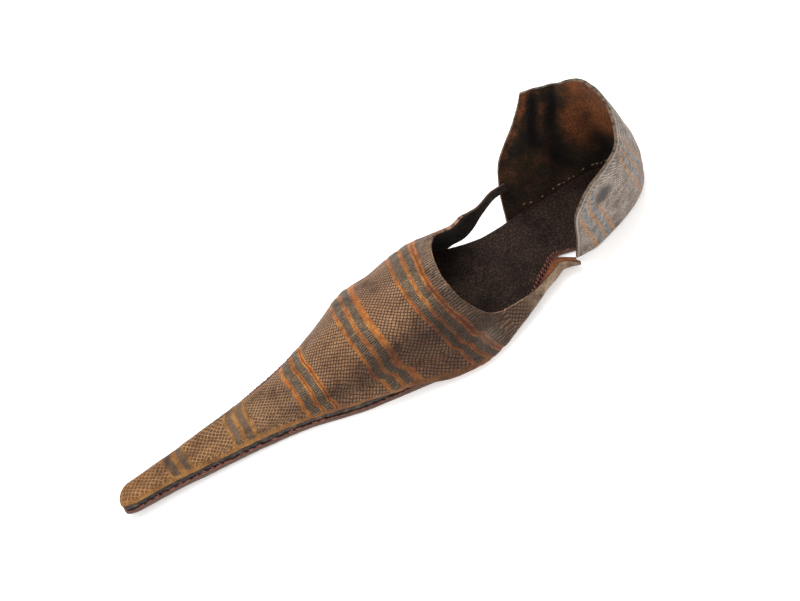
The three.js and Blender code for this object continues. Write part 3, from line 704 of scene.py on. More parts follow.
def sole_mesh():
    """The sole as a closed loft of cross-sections, with rounded edges and an uneven surface."""
    x = LENGTH * (1 - np.cos(math.pi * np.linspace(0.004, 0.996, SOLE_STATIONS))) / 2
    turn = np.linspace(-math.pi / 2, math.pi / 2, EDGE_LEVELS)
    inset = SOLE_EDGE * (1 - np.cos(turn))
    core = SOLE_THICKNESS / 2 - SOLE_EDGE
    height = SOLE_THICKNESS / 2 + np.sign(turn) * core * (np.abs(turn) > 0.2) + SOLE_EDGE * np.sin(turn)
    loops = []
    for place in x:
        at = np.full(EDGE_LEVELS, place)
        seat = SEAT_SPREAD * smooth((SEAT_FRONT - place) / (12 * MM))
        proud = {"medial": seat, "lateral": seat + standing_proud(place)}
        sides = [np.stack([*beside_sole(edge, at, proud[edge] - inset), height], -1) for edge in proud]
        share = np.linspace(0, 1, SOLE_ACROSS)[1:-1, None]
        top = blend(sides[0][-1], sides[1][-1], share)
        bottom = blend(sides[1][0], sides[0][0], share)
        loops.append(np.concatenate([sides[0], top, sides[1][::-1], bottom]))
    points = np.array(loops)
    points[..., 2] += lift(points[..., 0])
    index = np.arange(points.shape[0] * points.shape[1]).reshape(points.shape[:2])
    closed = np.concatenate([index, index[:, :1]], 1)
    quads = quads_of(closed)[:, ::-1]
    first_edge, inner_top = EDGE_LEVELS, EDGE_LEVELS + SOLE_ACROSS - 2
    column = np.tile(np.arange(index.shape[1]), SOLE_STATIONS - 1)
    on_top = (column >= first_edge - 1) & (column < inner_top)
    on_ground = column >= inner_top + EDGE_LEVELS - 1
    finish = np.where(on_top, 0, np.where(on_ground, 2, 1))
    flat = points.reshape(-1, 3)
    normals = point_normals(flat, quads)
    pebbled = 0.16 * MM * uneven(flat, 2.4 * MM, 7) + 0.3 * MM * uneven(flat, 11 * MM, 8)
    worn = 0.1 * MM * uneven(flat * [1, 1, 3], 3 * MM, 9)
    away = np.abs(normals[:, 2])
    relief = np.where(normals[:, 2] > 0.3, pebbled, worn) * np.where(normals[:, 2] < -0.3, 0.4, 1)
    inside = np.where(normals[:, 2] > 0.3, smooth(away), 1)
    shaped = flat + normals * (relief * inside)[:, None] - np.array([0, 0, 0.1 * MM]) * (normals[:, 2:] > 0.3)
    # The floor flattens the lowest bumps of the ground face.
    shaped[:, 2] = np.maximum(shaped[:, 2], 0)
    faces = tidy_faces(quads) + [index[0].tolist(), index[-1][::-1].tolist()]
    finish = np.concatenate([finish, [1, 1]])
    maps = {
        "edge": np.stack([flat[:, 0] / LENGTH, (flat[:, 2] - lift(flat[:, 0])) / SOLE_THICKNESS], -1),
        "round": np.stack([flat[:, 0] / LENGTH, flat[:, 1] / MM / 100], -1),
    }
    return shaped, faces, finish, maps


def moved_in(line, distance):
    """A line of points moved to its right by a distance, square to itself."""
    ahead = np.concatenate([line[1:], line[-1:]])
    behind = np.concatenate([line[:1], line[:-1]])
    along = ahead - behind
    along /= np.linalg.norm(along, axis=1)[:, None]
    return line + np.stack([along[:, 1], -along[:, 0]], -1) * np.reshape(distance, (-1, 1))


RAND_STATIONS = 320
RAND_SECTION = 14


def seam_line(steps, start):
    """The sole's edge from a place on the inner side, round the tip and back on the outer side."""
    x = blend(start, LENGTH, np.sin(np.linspace(0, 1, steps + 1) * math.pi / 2))
    inner = np.stack([x, sole_edge("medial", x)], -1)
    outer = np.stack([x, sole_edge("lateral", x) - standing_proud(x)], -1)[::-1][1:]
    return np.concatenate([inner, outer])


def rand_mesh():
    """The rand: a narrow strip with a full round edge, squeezed a little at every stitch."""
    line = seam_line(RAND_STATIONS, WRAP_END + WRAP_CLIMB / 2)
    run = run_along(line, 0)
    squeeze = 0.25 * MM * np.abs(np.sin(math.pi * run / STITCH_PITCH)) + 0.45 * MM * uneven(
        np.pad(line, ((0, 0), (0, 1))), 3 * MM, 11)
    middle = (RAND_WIDTH + SOLE_EDGE / 2) / 2
    turn = np.linspace(0, 2 * math.pi, RAND_SECTION + 1)[:-1]
    wide = np.sign(np.cos(turn)) * np.abs(np.cos(turn)) ** 0.5 * (RAND_WIDTH - SOLE_EDGE / 2) / 2
    tall = np.sign(np.sin(turn)) * np.abs(np.sin(turn)) ** 0.5 * RAND_THICKNESS / 2
    rings = []
    for across, high in zip(wide, tall):
        side = moved_in(line, middle - across - np.where(across > 0, squeeze - 0.2 * MM, 0))
        rings.append(np.column_stack([side, RAND_FOOT + RAND_THICKNESS / 2 + high + lift(side[:, 0])]))
    points = np.array(rings).transpose(1, 0, 2)
    index = np.arange(points.shape[0] * points.shape[1]).reshape(points.shape[:2])
    quads = quads_of(np.concatenate([index, index[:, :1]], 1))
    faces = quads.tolist() + [index[0].tolist(), index[-1][::-1].tolist()]
    flat = points.reshape(-1, 3)
    around = np.broadcast_to(turn / (2 * math.pi), points.shape[:2])
    maps = {"edge": np.stack([np.repeat(run, RAND_SECTION) / MM / 100, around.ravel()], -1)}
    return flat, faces, np.zeros(len(faces), int), maps


STITCH_PITCH = 4.5 * MM
THREAD_RADIUS = 0.42 * MM


def stitch(points, faces, start, end, radius, bow):
    """Adds one stitch: a short bowed length of round thread from start to end, standing off along bow."""
    steps, sides = 7, 6
    first = len(points)
    along = (end - start) / np.linalg.norm(end - start)
    upright = bow / np.linalg.norm(bow)
    across = np.cross(along, upright)
    for i in range(steps):
        t = i / (steps - 1)
        centre = blend(start, end, t) + bow * math.sin(math.pi * t)
        thick = radius * (0.35 + 0.65 * math.sin(math.pi * t) ** 0.5)
        for k in range(sides):
            a = 2 * math.pi * k / sides
            points.append(centre + thick * (math.cos(a) * across + math.sin(a) * upright))
    for i in range(steps - 1):
        for k in range(sides):
            a, b = first + i * sides + k, first + i * sides + (k + 1) % sides
            faces.append([a, b, b + sides, a + sides])
    faces.append([first + k for k in range(sides)][::-1])
    faces.append([first + (steps - 1) * sides + k for k in range(sides)])


def lasting_stitches():
    """Thread that shows in the seam between the rand and the sole round the point."""
    points, faces = [], []
    line = moved_in(seam_line(900, TOE_THREAD_START), 0.55 * MM)
    run = run_along(line, 0)
    draw = np.random.default_rng(21)
    height = SOLE_THICKNESS + SEAM_GAP / 2
    for k in range(int(run[-1] / STITCH_PITCH)):
        if draw.random() < 0.2:
            continue
        ends = [np.array([np.interp((k + share) * STITCH_PITCH, run, line[:, axis]) for axis in (0, 1)])
                for share in (0.12, 0.12 + 0.6 + 0.14 * draw.random())]
        a, b = (np.array([*end, height + lift(end[0])]) for end in ends)
        along = b - a
        away = np.array([-along[1], along[0], 0]) / np.linalg.norm(along[:2])
        bow = away * 0.45 * MM + np.array([0, 0, 1]) * 0.12 * MM * draw.random()
        stitch(points, faces, a, b, THREAD_RADIUS * (0.8 + 0.3 * draw.random()), bow)
        if draw.random() < 0.55:
            rise = (1 + 1.6 * draw.random()) * MM
            over = a + along * 0.5 * draw.random() + np.array([0, 0, rise]) + away * 0.5 * MM
            stitch(points, faces, a, over, THREAD_RADIUS * 0.7, bow)
    return np.array(points), faces


def waist_stitches():
    """Reddened thread along the inner edge of the sole's waist, before the wing."""
    points, faces = [], []
    draw = np.random.default_rng(33)
    for x in np.arange(58 * MM, 112 * MM, 1.9 * MM):
        starts = np.array([x, x + (1.2 + 0.5 * draw.random()) * MM])
        out = np.array([-0.3 - 0.5 * draw.random(), 0.9 + 0.4 * draw.random()]) * MM
        bow = np.array([0, 0, 0.5 * MM])
        # The second, lower row, 1 mm further out, fills the gap between the sole's edge and the wing's foot:
        # thread put where only shade shows.
        for height, beyond in ((SOLE_THICKNESS, 0), (SOLE_THICKNESS * 0.45, 1 * MM)):
            ends = [*beside_sole("medial", starts, out + beyond), lift(starts) + height]
            stitch(points, faces, *np.stack(ends, -1), THREAD_RADIUS * (0.7 + 0.4 * draw.random()), bow)
    return np.array(points), faces


def far_edge_stitches():
    """Reddened thread along the top of the rand where it stands out on the outer side."""
    points, faces = [], []
    draw = np.random.default_rng(34)
    for x in np.arange(PROUD_BACK + 6 * MM, PROUD_FRONT - 4 * MM, 1.6 * MM):
        starts = np.array([x, x + (2 + 0.8 * draw.random()) * MM])
        out = standing_proud(starts) - 0.3 * MM * draw.random()
        height = RAND_FOOT + RAND_THICKNESS - 0.4 * MM + lift(starts)
        a, b = np.stack([*beside_sole("lateral", starts, out), height], -1)
        stitch(points, faces, a, b, THREAD_RADIUS * (1 + 0.5 * draw.random()), np.array([0, 0, 0.3 * MM]))
    return np.array(points), faces


def heel_stitches():
    """Ends of thread along the seam inside the heel, where the heel piece meets the sole."""
    points, faces = [], []
    draw = np.random.default_rng(8)
    for side in np.arange(-0.9, 0.95, 0.035):
        if draw.random() < 0.25:
            continue
        up = 0.045 + 0.025 * draw.random()
        long, tilt = 0.008 + 0.016 * draw.random(), 0.016 * draw.random() - 0.004
        a, b, c = (quarter_point(side + step, up + rise) for step, rise in ((0, 0), (long, tilt), (0, 0.05)))
        out = np.cross(b - a, c - a)
        out = out / np.linalg.norm(out)
        out = out if out @ (a - np.array([0.03, 0, a[2]])) > 0 else -out
        sunk = out * (LEATHER - 0.1 * MM)
        stitch(points, faces, a - sunk, b - sunk, THREAD_RADIUS * 0.8, -out * 0.3 * MM)
    return np.array(points), faces


def thread_piece(name, made, finish):
    """A run of stitches as one object."""
    points, faces = made
    flat = {"edge": points[:, :2] / MM / 100}
    return leather_piece(name, None, (points, faces, np.zeros(len(faces), int), flat), [finish])


TOE_THREAD_START = 205 * MM


def linear(hex_colour):
    """A colour given as sRGB hex, as the linear values that a shader takes."""
    values = [int(hex_colour[k:k + 2], 16) / 255 for k in (1, 3, 5)]
    return (*[v / 12.92 if v <= 0.04045 else ((v + 0.055) / 1.055) ** 2.4 for v in values], 1)


def add_node(tree, kind, inputs=(), out=0, stops=(), **settings):
    """Adds a node with its settings, fills or links its inputs, and gives back one of its outputs."""
    node = tree.nodes.new("ShaderNode" + kind)
    for name, value in settings.items():
        setattr(node, name, value)
    if stops:
        ramp = node.color_ramp.elements
        ramp[0].position, ramp[1].position = stops[0][0], stops[1][0]
        for place, _ in stops[2:]:
            ramp.new(place)
        for element, (_, colour) in zip(ramp, stops):
            element.color = colour
    for socket, value in inputs.items() if isinstance(inputs, dict) else enumerate(inputs):
        if isinstance(value, bpy.types.NodeSocket):
            tree.links.new(value, node.inputs[socket])
        elif value is not None:
            node.inputs[socket].default_value = value
    return node.outputs[out] if len(node.outputs) else node


def in_millimetres(add):
    """The place of a surface point in millimetres."""
    return add("VectorMath", {0: add("TexCoord", out=3), "Scale": 1 / MM}, operation="SCALE")


def new_finish(name):
    """An empty material, the function that adds nodes to it and the place of a point in millimetres."""
    finish = bpy.data.materials.new(name)
    finish.use_nodes = True
    finish.node_tree.nodes.clear()
    add = partial(add_node, finish.node_tree)
    return finish, add, in_millimetres(add)


def finished(add, colour, roughness, relief, depth, shader):
    """Ends a material with leather's shader: its colour, its roughness and a relief of a depth in metres."""
    bump = add("Bump", {"Height": relief, "Strength": 1.0, "Distance": depth})
    inputs = {"Base Color": colour, "Roughness": roughness, "Normal": bump}
    leather = add("BsdfPrincipled", {**inputs, **shader})
    add("OutputMaterial", {"Surface": leather})


SOFT_RANGE = {"interpolation_type": "SMOOTHSTEP"}


def times(add, one, two):
    """One value times another."""
    return add("Math", [one, two], operation="MULTIPLY")


def times_plus(add, one, two, three):
    """One value times another, plus a third."""
    return add("Math", [one, two, three], operation="MULTIPLY_ADD")


def minus(add, one, two):
    """One value less another."""
    return add("Math", [one, two], operation="SUBTRACT")


def slope(add, value, start, end, low=0.0, high=1.0, **settings):
    """A value that goes straight from low to high while another goes from start to end."""
    return add("MapRange", {0: value, 1: start, 2: end, 3: low, 4: high}, **settings)


def fade(add, value, start, end, low=0.0, high=1.0):
    """The same with soft ends."""
    return slope(add, value, start, end, low, high, **SOFT_RANGE)


def painted(add, share, under, over):
    """A share of one colour laid over another."""
    return add("Mix", {0: share, 6: under, 7: over}, out=2, data_type="RGBA")


def darkened(add, share, under, over):
    """A colour darkened by a share of another."""
    return add("Mix", {0: share, 6: under, 7: over}, out=2, data_type="RGBA", blend_type="MULTIPLY")


def shades(add, value, *stops):
    """The colour of a value on a scale whose stops are a place and sRGB hex."""
    return add("ValToRGB", [value], stops=[(place, linear(colour)) for place, colour in stops])


def map_part(add, name, number):
    """One of the two flat coordinates of a piece's map."""
    return add("SeparateXYZ", [add("UVMap", uv_map=name)], out=number)


def mottle(add, place, size, detail=3.0, roughness=0.55):
    """Cloudy unevenness from 0 to 1 whose bumps are about a size in millimetres."""
    return add("TexNoise", {"Vector": place, "Scale": 1 / size, "Detail": detail, "Roughness": roughness})


def band_stops(low, high):
    """Colour stops over the vamp's shares: red on coloured lines, green on stripes, blue on bars."""
    parts = []
    for middle, half in zip(COLOURED_LINES["at"], COLOURED_LINES["half"]):
        wide = half > 0.008
        inner = [(-0.4, 1.0), (0, 0.5), (0.42, 1.0)] if wide else [(0, 1.0)]
        parts.append((middle - half, middle + half, [(middle + at * half, (v, 0, 0, 1)) for at, v in inner]))
    for bands, colour in ((RAISED_STRIPES, (0, 1, 0, 1)), (INKED_BARS, (0, 0, 1, 1))):
        for middle, half in zip(bands["at"], bands["half"]):
            parts.append((middle - half, middle + half, [(middle, colour)]))
    for middle, half in zip(TANNED_FIELDS["at"], TANNED_FIELDS["half"]):
        cuts = [middle - half, middle + half]
        for bar, wide in zip(INKED_BARS["at"], INKED_BARS["half"]):
            if abs(bar - middle) < half:
                cuts += [bar - wide, bar + wide]
        cuts.sort()
        for a, b in zip(cuts[::2], cuts[1::2]):
            parts.append((a, b, [((a + b) / 2, (0.75, 0, 0, 1))]))
    parts = sorted(part for part in parts if low <= part[0] < high)
    stops, last = [(max(0, parts[0][0] - 0.004), (0, 0, 0, 1))], 0
    for start, end, middle in parts:
        first = middle[0][1]
        rim = (0.55, 0, 0, 1) if first[0] else first
        if start - last > 0.003 and last:
            stops += [(last + 0.0012, (0, 0, 0, 1)), (start - 0.0012, (0, 0, 0, 1))]
        stops += [(start + 0.0008, rim), *middle, (end - 0.0008, rim)]
        last = end
    return sorted(stops + [(last + 0.0015, (0, 0, 0, 1))])


def between_lines(add, value, pitch):
    """0 where a value is a whole number of pitches, rising to 1 midway between."""
    return add("Math", [add("Math", [value, pitch / 2], operation="PINGPONG"), pitch / 2], operation="DIVIDE")


def lattice(add, flat, pitch, tilt):
    """Two sets of crossing tooled lines, each 0 on its lines and 1 between them."""
    turned = add("Mapping", {"Vector": flat, "Rotation": (0, 0, math.radians(tilt))})
    sides = [add("SeparateXYZ", [turned], out=k) for k in (0, 1)]
    return [between_lines(add, side, pitch) for side in sides]


# Tooling in millimetres and degrees: the lattice on the vamp, its ticks, and the strokes on the heel piece.
LATTICE_PITCH = 2.0
LATTICE_TILT = 47
TICK_PITCH = 1.2
WIDE_PITCH = 1.6
HATCH_PITCH = 1.7
HATCH_TILT = 62
# How far round from the hem the coloured edging reaches: share along the vamp, share of its half turn.
EDGING_REACH = ((0.06, 0), (0.09, 0.042), (0.13, 0.052), (0.17, 0.064), (0.2, 0.07), (0.25, 0.059),
                (0.3, 0.042), (0.38, 0))


# Vegetable-tanned calf, tooled by hand while damp, coloured in its lines and worn: matt, brown on the panels,
# with the cut lattice darker than its cells. Painted shade and dirt darken its low inner side, painted shade
# and soil its folds, painted shade in part the middles of its coloured grooves, and painted highlights
# lighten its cells and a patch by the throat's inner corner.
def engraved_calf():
    finish, add, place = new_finish("engraved_calf_leather")
    bands = add("UVMap", uv_map="bands")
    hem = map_part(add, "hem", 1)
    along = map_part(add, "round", 0)
    angle = map_part(add, "round", 1)
    wobble = minus(add, mottle(add, place, 4.0, 2.0), 0.5)
    share = add("SeparateXYZ", [bands], out=0)
    share = times_plus(add, wobble, 0.006, share)
    across = add("SeparateXYZ", [bands], out=1)
    across = times(add, across, 100.0)
    masks = None
    for low, high in ((0, 0.15), (0.15, 0.35), (0.35, 0.55), (0.55, 0.72), (0.72, 1)):
        ramp = add("ValToRGB", [share], stops=band_stops(low, high))
        masks = ramp if masks is None else add("VectorMath", [masks, ramp], operation="MAXIMUM")
    line, stripe, bar = (add("SeparateXYZ", [masks], out=k) for k in range(3))
    on_line = fade(add, line, 0.1, 0.5)
    deep = fade(add, line, 0.72, 0.98)
    toe = fade(add, along, 0.44, 0.5)
    near_throat = slope(add, along, 0.12, 0.0, high=0.1)
    lean = minus(add, angle, near_throat)
    # Painted shade and dirt: the low inner side, which turns under, is darkened most near the throat, less
    # towards the point, and little behind the throat.
    low_side_shade_and_dirt = fade(add, times_plus(add, wobble, 0.12, lean), 0.38, 0.22)
    shade_and_dirt_run = add("ValToRGB", [along], stops=[(0.0, (0.9, 0.9, 0.9, 1)), (0.2, (1, 1, 1, 1)),
                   (0.35, (0.62, 0.62, 0.62, 1)), (0.5, (0.6, 0.6, 0.6, 1)), (0.62, (0, 0, 0, 1))])
    behind = fade(add, along, -0.04, -0.1, 1, 0.1)
    shade_and_dirt_run = times(add, add("SeparateXYZ", [shade_and_dirt_run]), behind)
    low_side_shade_and_dirt = times(add, low_side_shade_and_dirt, shade_and_dirt_run)

    # The lattice: cut lines about 1.7 mm apart, and 2.1 mm apart towards the point.
    drift = add("VectorMath", {0: add("TexNoise", {"Vector": place, "Scale": 0.3}, out=1), "Scale": 0.9},
                operation="SCALE")
    flat = add("CombineXYZ", [times(add, share, VAMP_RUN / MM), across])
    flat = add("VectorMath", [flat, drift], operation="ADD")
    flat = add("VectorMath", {0: flat, "Scale": slope(add, along, 0.6, 0.63, 1.16, 0.95)},
               operation="SCALE")
    one, two = lattice(add, flat, LATTICE_PITCH, LATTICE_TILT)
    cut_one, cut_two = (fade(add, side, 0.5, 0.1) for side in (one, two))
    cut = add("Math", [cut_one, cut_two], operation="MAXIMUM")
    dots = fade(add, add("Math", [one, two], operation="MINIMUM"), 0.2, 0.42)
    cells = fade(add, times(add, one, two), 0.25, 0.75)
    cut = add("Mix", {0: toe, 2: cut, 3: dots})

    # Ticks across the stripes, and wider apart in the band at the throat.
    jitter = times_plus(add, mottle(add, place, 2.2, 3.0), 2.2, across)
    fine, wide = (between_lines(add, jitter, pitch) for pitch in (TICK_PITCH, WIDE_PITCH))
    ticks = add("Mix", {0: slope(add, share, 0.032, 0.03), 2: fine, 3: wide})
    ticks = times_plus(add, mottle(add, place, 1.3, 3.0), 0.7, ticks)
    ticks = fade(add, ticks, 1.05, 0.6)

    soil = mottle(add, place, 9.0, 6.0, 0.65)
    cell_colour = shades(add, along, (0.0, "#bc9c80"), (0.2, "#d0a27a"), (0.35, "#c69c70"),
                         (0.5, "#b89270"), (0.62, "#c29a6e"), (0.8, "#d3a674"), (1.0, "#c8985f"))
    cut_colour = shades(add, along, (0.0, "#3a2a1c"), (0.25, "#4e2f17"), (0.5, "#4c382a"),
                        (0.75, "#6b4a29"), (1.0, "#8a5f34"))
    wing = fade(add, along, -0.02, -0.08, high=0.7)
    cut = times(add, cut, minus(add, 1.0, wing))
    panel = painted(add, times(add, cut, 0.92), cell_colour, cut_colour)
    # Painted highlight on the raised cells between the cut lines: patchy, and none towards the point.
    painted_cell_highlight = times(add, cells, times(add, soil, 1.2))
    painted_cell_highlight = times(add, painted_cell_highlight, minus(add, 1.0, toe))
    panel = painted(add, painted_cell_highlight, panel, linear("#c4a488"))
    dye = shades(add, mottle(add, place, 3.0, 6.0, 0.7), (0.32, "#9a5014"), (0.45, "#cd7822"),
                 (0.56, "#de9a40"), (0.68, "#cfa568"))
    # The middle of each coloured groove is darkened: partly the darker dye of its cut line, partly painted
    # shade in the groove.
    dye = painted(add, deep, dye, linear("#7d3207"))
    ochre = shades(add, mottle(add, place, 5.0, 5.0), (0.35, "#93652c"), (0.5, "#b1803f"),
                   (0.66, "#bf9352"))
    rim = painted(add, 0.6, dye, ochre)
    pale_run = fade(add, along, 0.5, 0.6)
    rim = painted(add, pale_run, rim, ochre)
    dye = painted(add, pale_run, dye, ochre)
    edge_band = slope(add, share, 0.034, 0.028)
    cord_colour = painted(add, edge_band, linear("#b09a80"), linear("#bb9c84"))
    rubbed = slope(add, mottle(add, place, 3.5, 5.0, 0.7), 0.42, 0.6, 0.45, 1.0)
    cord_colour = painted(add, rubbed, linear("#6b5f52"), cord_colour)
    grey = painted(add, times(add, ticks, 0.9), cord_colour, linear("#332c27"))
    inked = painted(add, soil, linear("#4d3c2e"), linear("#987f66"))
    edging = fade(add, hem, 0.028, 0.02)
    edging = times(add, edging, slope(add, along, 0.08, 0.12))
    reach = add("ValToRGB", [along], stops=[(at, (high, high, high, 1)) for at, high in EDGING_REACH])
    turned = times_plus(add, wobble, 0.015, angle)
    turned = minus(add, turned, add("SeparateXYZ", [reach]))
    turned = fade(add, turned, 0.004, -0.004)
    edging = add("Math", [edging, turned], operation="MAXIMUM")
    colour = panel
    worn = shades(add, mottle(add, place, 7.0, 5.0), (0.38, "#453c36"), (0.5, "#7d7065"), (0.6, "#a39689"))
    colour = painted(add, wing, colour, worn)
    for mask, over in ((on_line, dye), (stripe, grey), (bar, inked), (edging, rim)):
        colour = painted(add, mask, colour, over)
    # Painted highlight: a pale patch on the inner wing by the throat's corner.
    corner = add("VectorMath", [place, tuple((PAINTED_HIGHLIGHT_CORNER + HOME) / MM)], out=1, operation="DISTANCE")
    corner = times_plus(add, mottle(add, place, 3.0), 8.0, corner)
    corner = fade(add, corner, 14.0, 4.0, high=0.14)
    # Painted shade and dirt darken the low inner side.
    colour = darkened(add, low_side_shade_and_dirt, colour, linear("#938576"))
    shade = shades(add, soil, (0.32, "#b5aa9f"), (0.5, "#f6f1eb"), (0.68, "#fffaf4"))
    colour = darkened(add, 1.0, colour, shade)
    broad = shades(add, mottle(add, place, 26.0, 3.0), (0.36, "#e6ddd3"), (0.55, "#fffaf2"))
    colour = darkened(add, 1.0, colour, broad)
    # Lays on the painted highlight by the throat's corner.
    colour = painted(add, corner, colour, linear("#b8aa9c"))
    # Painted shade and soil in the folds, darker the deeper the fold.
    painted_fold_shade = shades(add, map_part(add, "folds", 0), (0.06, "#ffffff"), (0.4, "#aea49a"))
    colour = darkened(add, 1.0, colour, painted_fold_shade)
    grit = shades(add, mottle(add, place, 0.7, 4.0, 0.7), (0.34, "#87796e"), (0.5, "#f2eeea"),
                  (0.66, "#ffffff"))
    colour = darkened(add, 0.9, colour, grit)

    plain = add("Math", [1.0, add("Math", [on_line, add("Math", [stripe, bar], operation="ADD")],
                         operation="ADD")], operation="SUBTRACT", use_clamp=True)
    relief = times_plus(add, times(add, cut, plain), -0.8, 1.0)
    relief = times_plus(add, times(add, ticks, stripe), -0.7, relief)
    relief = times_plus(add, deep, -0.5, relief)
    relief = times_plus(add, mottle(add, place, 0.8, 4.0), 0.5, relief)
    roughness = slope(add, soil, 0.3, 0.7, 0.72, 0.5)
    finished(add, colour, roughness, relief, 0.35 * MM, {"IOR": 1.5, "Specular IOR Level": 0.35})
    return finish


# The heel piece's grain side: the same calf, bleached grey by handling, with blue-grey raised bands.
def bleached_calf():
    finish, add, place = new_finish("bleached_engraved_calf_leather")
    bands = add("UVMap", uv_map="bands")
    front = map_part(add, "hem", 0)
    top = map_part(add, "hem", 1)
    wobble = minus(add, mottle(add, place, 5.0, 2.0), 0.5)
    share = times_plus(add, wobble, 0.02, add("SeparateXYZ", [bands], out=0))
    stops = [(0.17, (0, 0, 0, 1))]
    for middle, half, hue in sorted(
            [(m, h, (1, 0, 0, 1)) for m, h in zip(HEEL_LINES["at"], HEEL_LINES["half"])]
            + [(m, h * 0.8, (0, 1, 0, 1)) for m, h in zip(HEEL_STRIPES["at"], HEEL_STRIPES["half"])]):
        if stops[-1][0] < middle - half - 0.05:
            stops += [(stops[-1][0] + 0.008, (0, 0, 0, 1)), (middle - half - 0.008, (0, 0, 0, 1))]
        stops += [(middle - half + 0.004, hue), (middle + half - 0.004, hue)]
    stops.append((stops[-1][0] + 0.01, (0, 0, 0, 1)))
    masks = add("ValToRGB", [share], stops=stops)
    line, stripe = (add("SeparateXYZ", [masks], out=k) for k in (0, 1))
    margin = add("Math", [front, top], operation="MINIMUM")
    inside = fade(add, margin, 0.012, 0.022)
    line = times(add, line, inside)
    stripe = times(add, stripe, inside)
    edging = fade(add, margin, 0.011, 0.006)
    furrow = add("Math", [minus(add, margin, 0.015)], operation="ABSOLUTE")
    furrow = fade(add, furrow, 0.008, 0.002, high=0.4)

    # Fine crossing strokes.
    flat = add("Mapping", {"Vector": bands, "Scale": (74.5, 100, 1)})
    drift = add("VectorMath", {0: add("TexNoise", {"Vector": place, "Scale": 0.12}, out=1), "Scale": 2.5},
                operation="SCALE")
    one, two = lattice(add, add("VectorMath", [flat, drift], operation="ADD"), HATCH_PITCH, HATCH_TILT)
    broken = times_plus(add, mottle(add, place, 1.4, 4.0, 0.7), 1.6, one)
    cut = fade(add, times_plus(add, two, 0.4, broken), 1.7, 1.15)
    soil = mottle(add, place, 8.0, 6.0, 0.65)
    hide = shades(add, soil, (0.34, "#7d7066"), (0.5, "#a79a8f"), (0.66, "#c4b8ad"))
    cut_share = times(add, cut, 0.75)
    colour = painted(add, cut_share, hide, linear("#54463c"))
    dye = shades(add, mottle(add, place, 2.5, 5.0), (0.34, "#a4602f"), (0.5, "#b38a60"), (0.64, "#a39383"))
    dye_share = times(add, line, 0.9)
    colour = painted(add, dye_share, colour, dye)
    blue = shades(add, mottle(add, place, 2.5, 5.0, 0.65), (0.36, "#5f6063"), (0.52, "#8b8a8b"),
                  (0.66, "#aaa5a0"))
    colour = painted(add, stripe, colour, blue)
    grit = shades(add, mottle(add, place, 0.8, 4.0, 0.7), (0.36, "#8b7f75"), (0.5, "#efebe7"),
                  (0.64, "#ffffff"))
    colour = darkened(add, 1.0, colour, grit)
    colour = painted(add, furrow, colour, linear("#51463f"))
    colour = painted(add, times(add, edging, 0.8), colour, linear("#a09890"))
    spot = add("VectorMath", [place, tuple((STAIN + HOME) / MM)], out=1, operation="DISTANCE")
    spot = times_plus(add, mottle(add, place, 3.0), 6.0, spot)
    spot = fade(add, spot, 12.0, 6.5, high=0.92)
    colour = painted(add, spot, colour, linear("#3a3431"))
    relief = minus(add, times(add, cut, 0.7), mottle(add, place, 0.9, 4.0))
    relief = times(add, relief, -1.0)
    roughness = slope(add, soil, 0.3, 0.7, 0.75, 0.55)
    finished(add, colour, roughness, relief, 0.3 * MM, {"IOR": 1.5, "Specular IOR Level": 0.35})
    return finish


STAIN = quarter_point(0.772, 0.707).reshape(3)
# Centre of the painted highlight by the throat's inner corner.
PAINTED_HIGHLIGHT_CORNER = vamp_point(np.array(115 * MM), np.radians(np.array(20.0))).reshape(3)


# Flesh side of the calf, greased and dark from wear: matt, felted, with rust-brown patches, and painted shade
# and soil in its folds.
def worn_flesh(name, dark, mid, rust, rust_place):
    finish, add, place = new_finish(name)
    felt = mottle(add, place, 1.1, 5.0, 0.7)
    cloud = mottle(add, place, 13.0, 5.0, 0.6)
    colour = shades(add, cloud, (0.36, dark), (0.6, mid))
    patch = rust_place(add, minus(add, mottle(add, place, 10.0, 4.0), 0.5))
    colour = painted(add, patch, colour, rust)
    # Painted shade and soil in the folds, and on the heel piece painted shade in the corner where it meets
    # the sole.
    painted_fold_shade = map_part(add, "folds", 0)
    painted_fold_shade = shades(add, painted_fold_shade, (0.08, "#ffffff"), (0.5, "#4d443e"))
    colour = darkened(add, 1.0, colour, painted_fold_shade)
    speck = shades(add, felt, (0.35, "#8d8680"), (0.62, "#ffffff"))
    colour = darkened(add, 1.0, colour, speck)
    finished(add, colour, 0.85, felt, 0.45 * MM, {"IOR": 1.5, "Specular IOR Level": 0.2,
                                                  "Sheen Weight": 0.06, "Sheen Roughness": 0.5})
    return finish


def rust_inside_heel(add, haze):
    """Rust patches high on the inner and back part of the heel piece."""
    side = map_part(add, "round", 0)
    up = map_part(add, "round", 1)
    around = fade(add, side, -0.62, -0.36, high=0.85)
    high = fade(add, up, 0.12, 0.5)
    there = times(add, around, high)
    fore = fade(add, side, -0.88, -0.96, high=0.35)
    upper = fade(add, up, 0.45, 0.7)
    there = add("Math", [there, times(add, fore, upper)], operation="MAXIMUM")
    there = add("Math", [haze, 2.0, there], operation="MULTIPLY_ADD", use_clamp=True)
    low = fade(add, up, 0.1, 0.5, 0.1, 0.85)
    return times(add, there, low)


def rust_inside_wing(add, haze):
    """Orange-brown flesh on the inner wing, where it rolls outwards."""
    along = map_part(add, "round", 0)
    angle = map_part(add, "round", 1)
    behind = fade(add, along, -0.08, -0.16)
    inner = slope(add, angle, 0.5, 0.3)
    there = add("Math", [haze, 1.4, behind], operation="MULTIPLY_ADD", use_clamp=True)
    return times(add, there, inner)


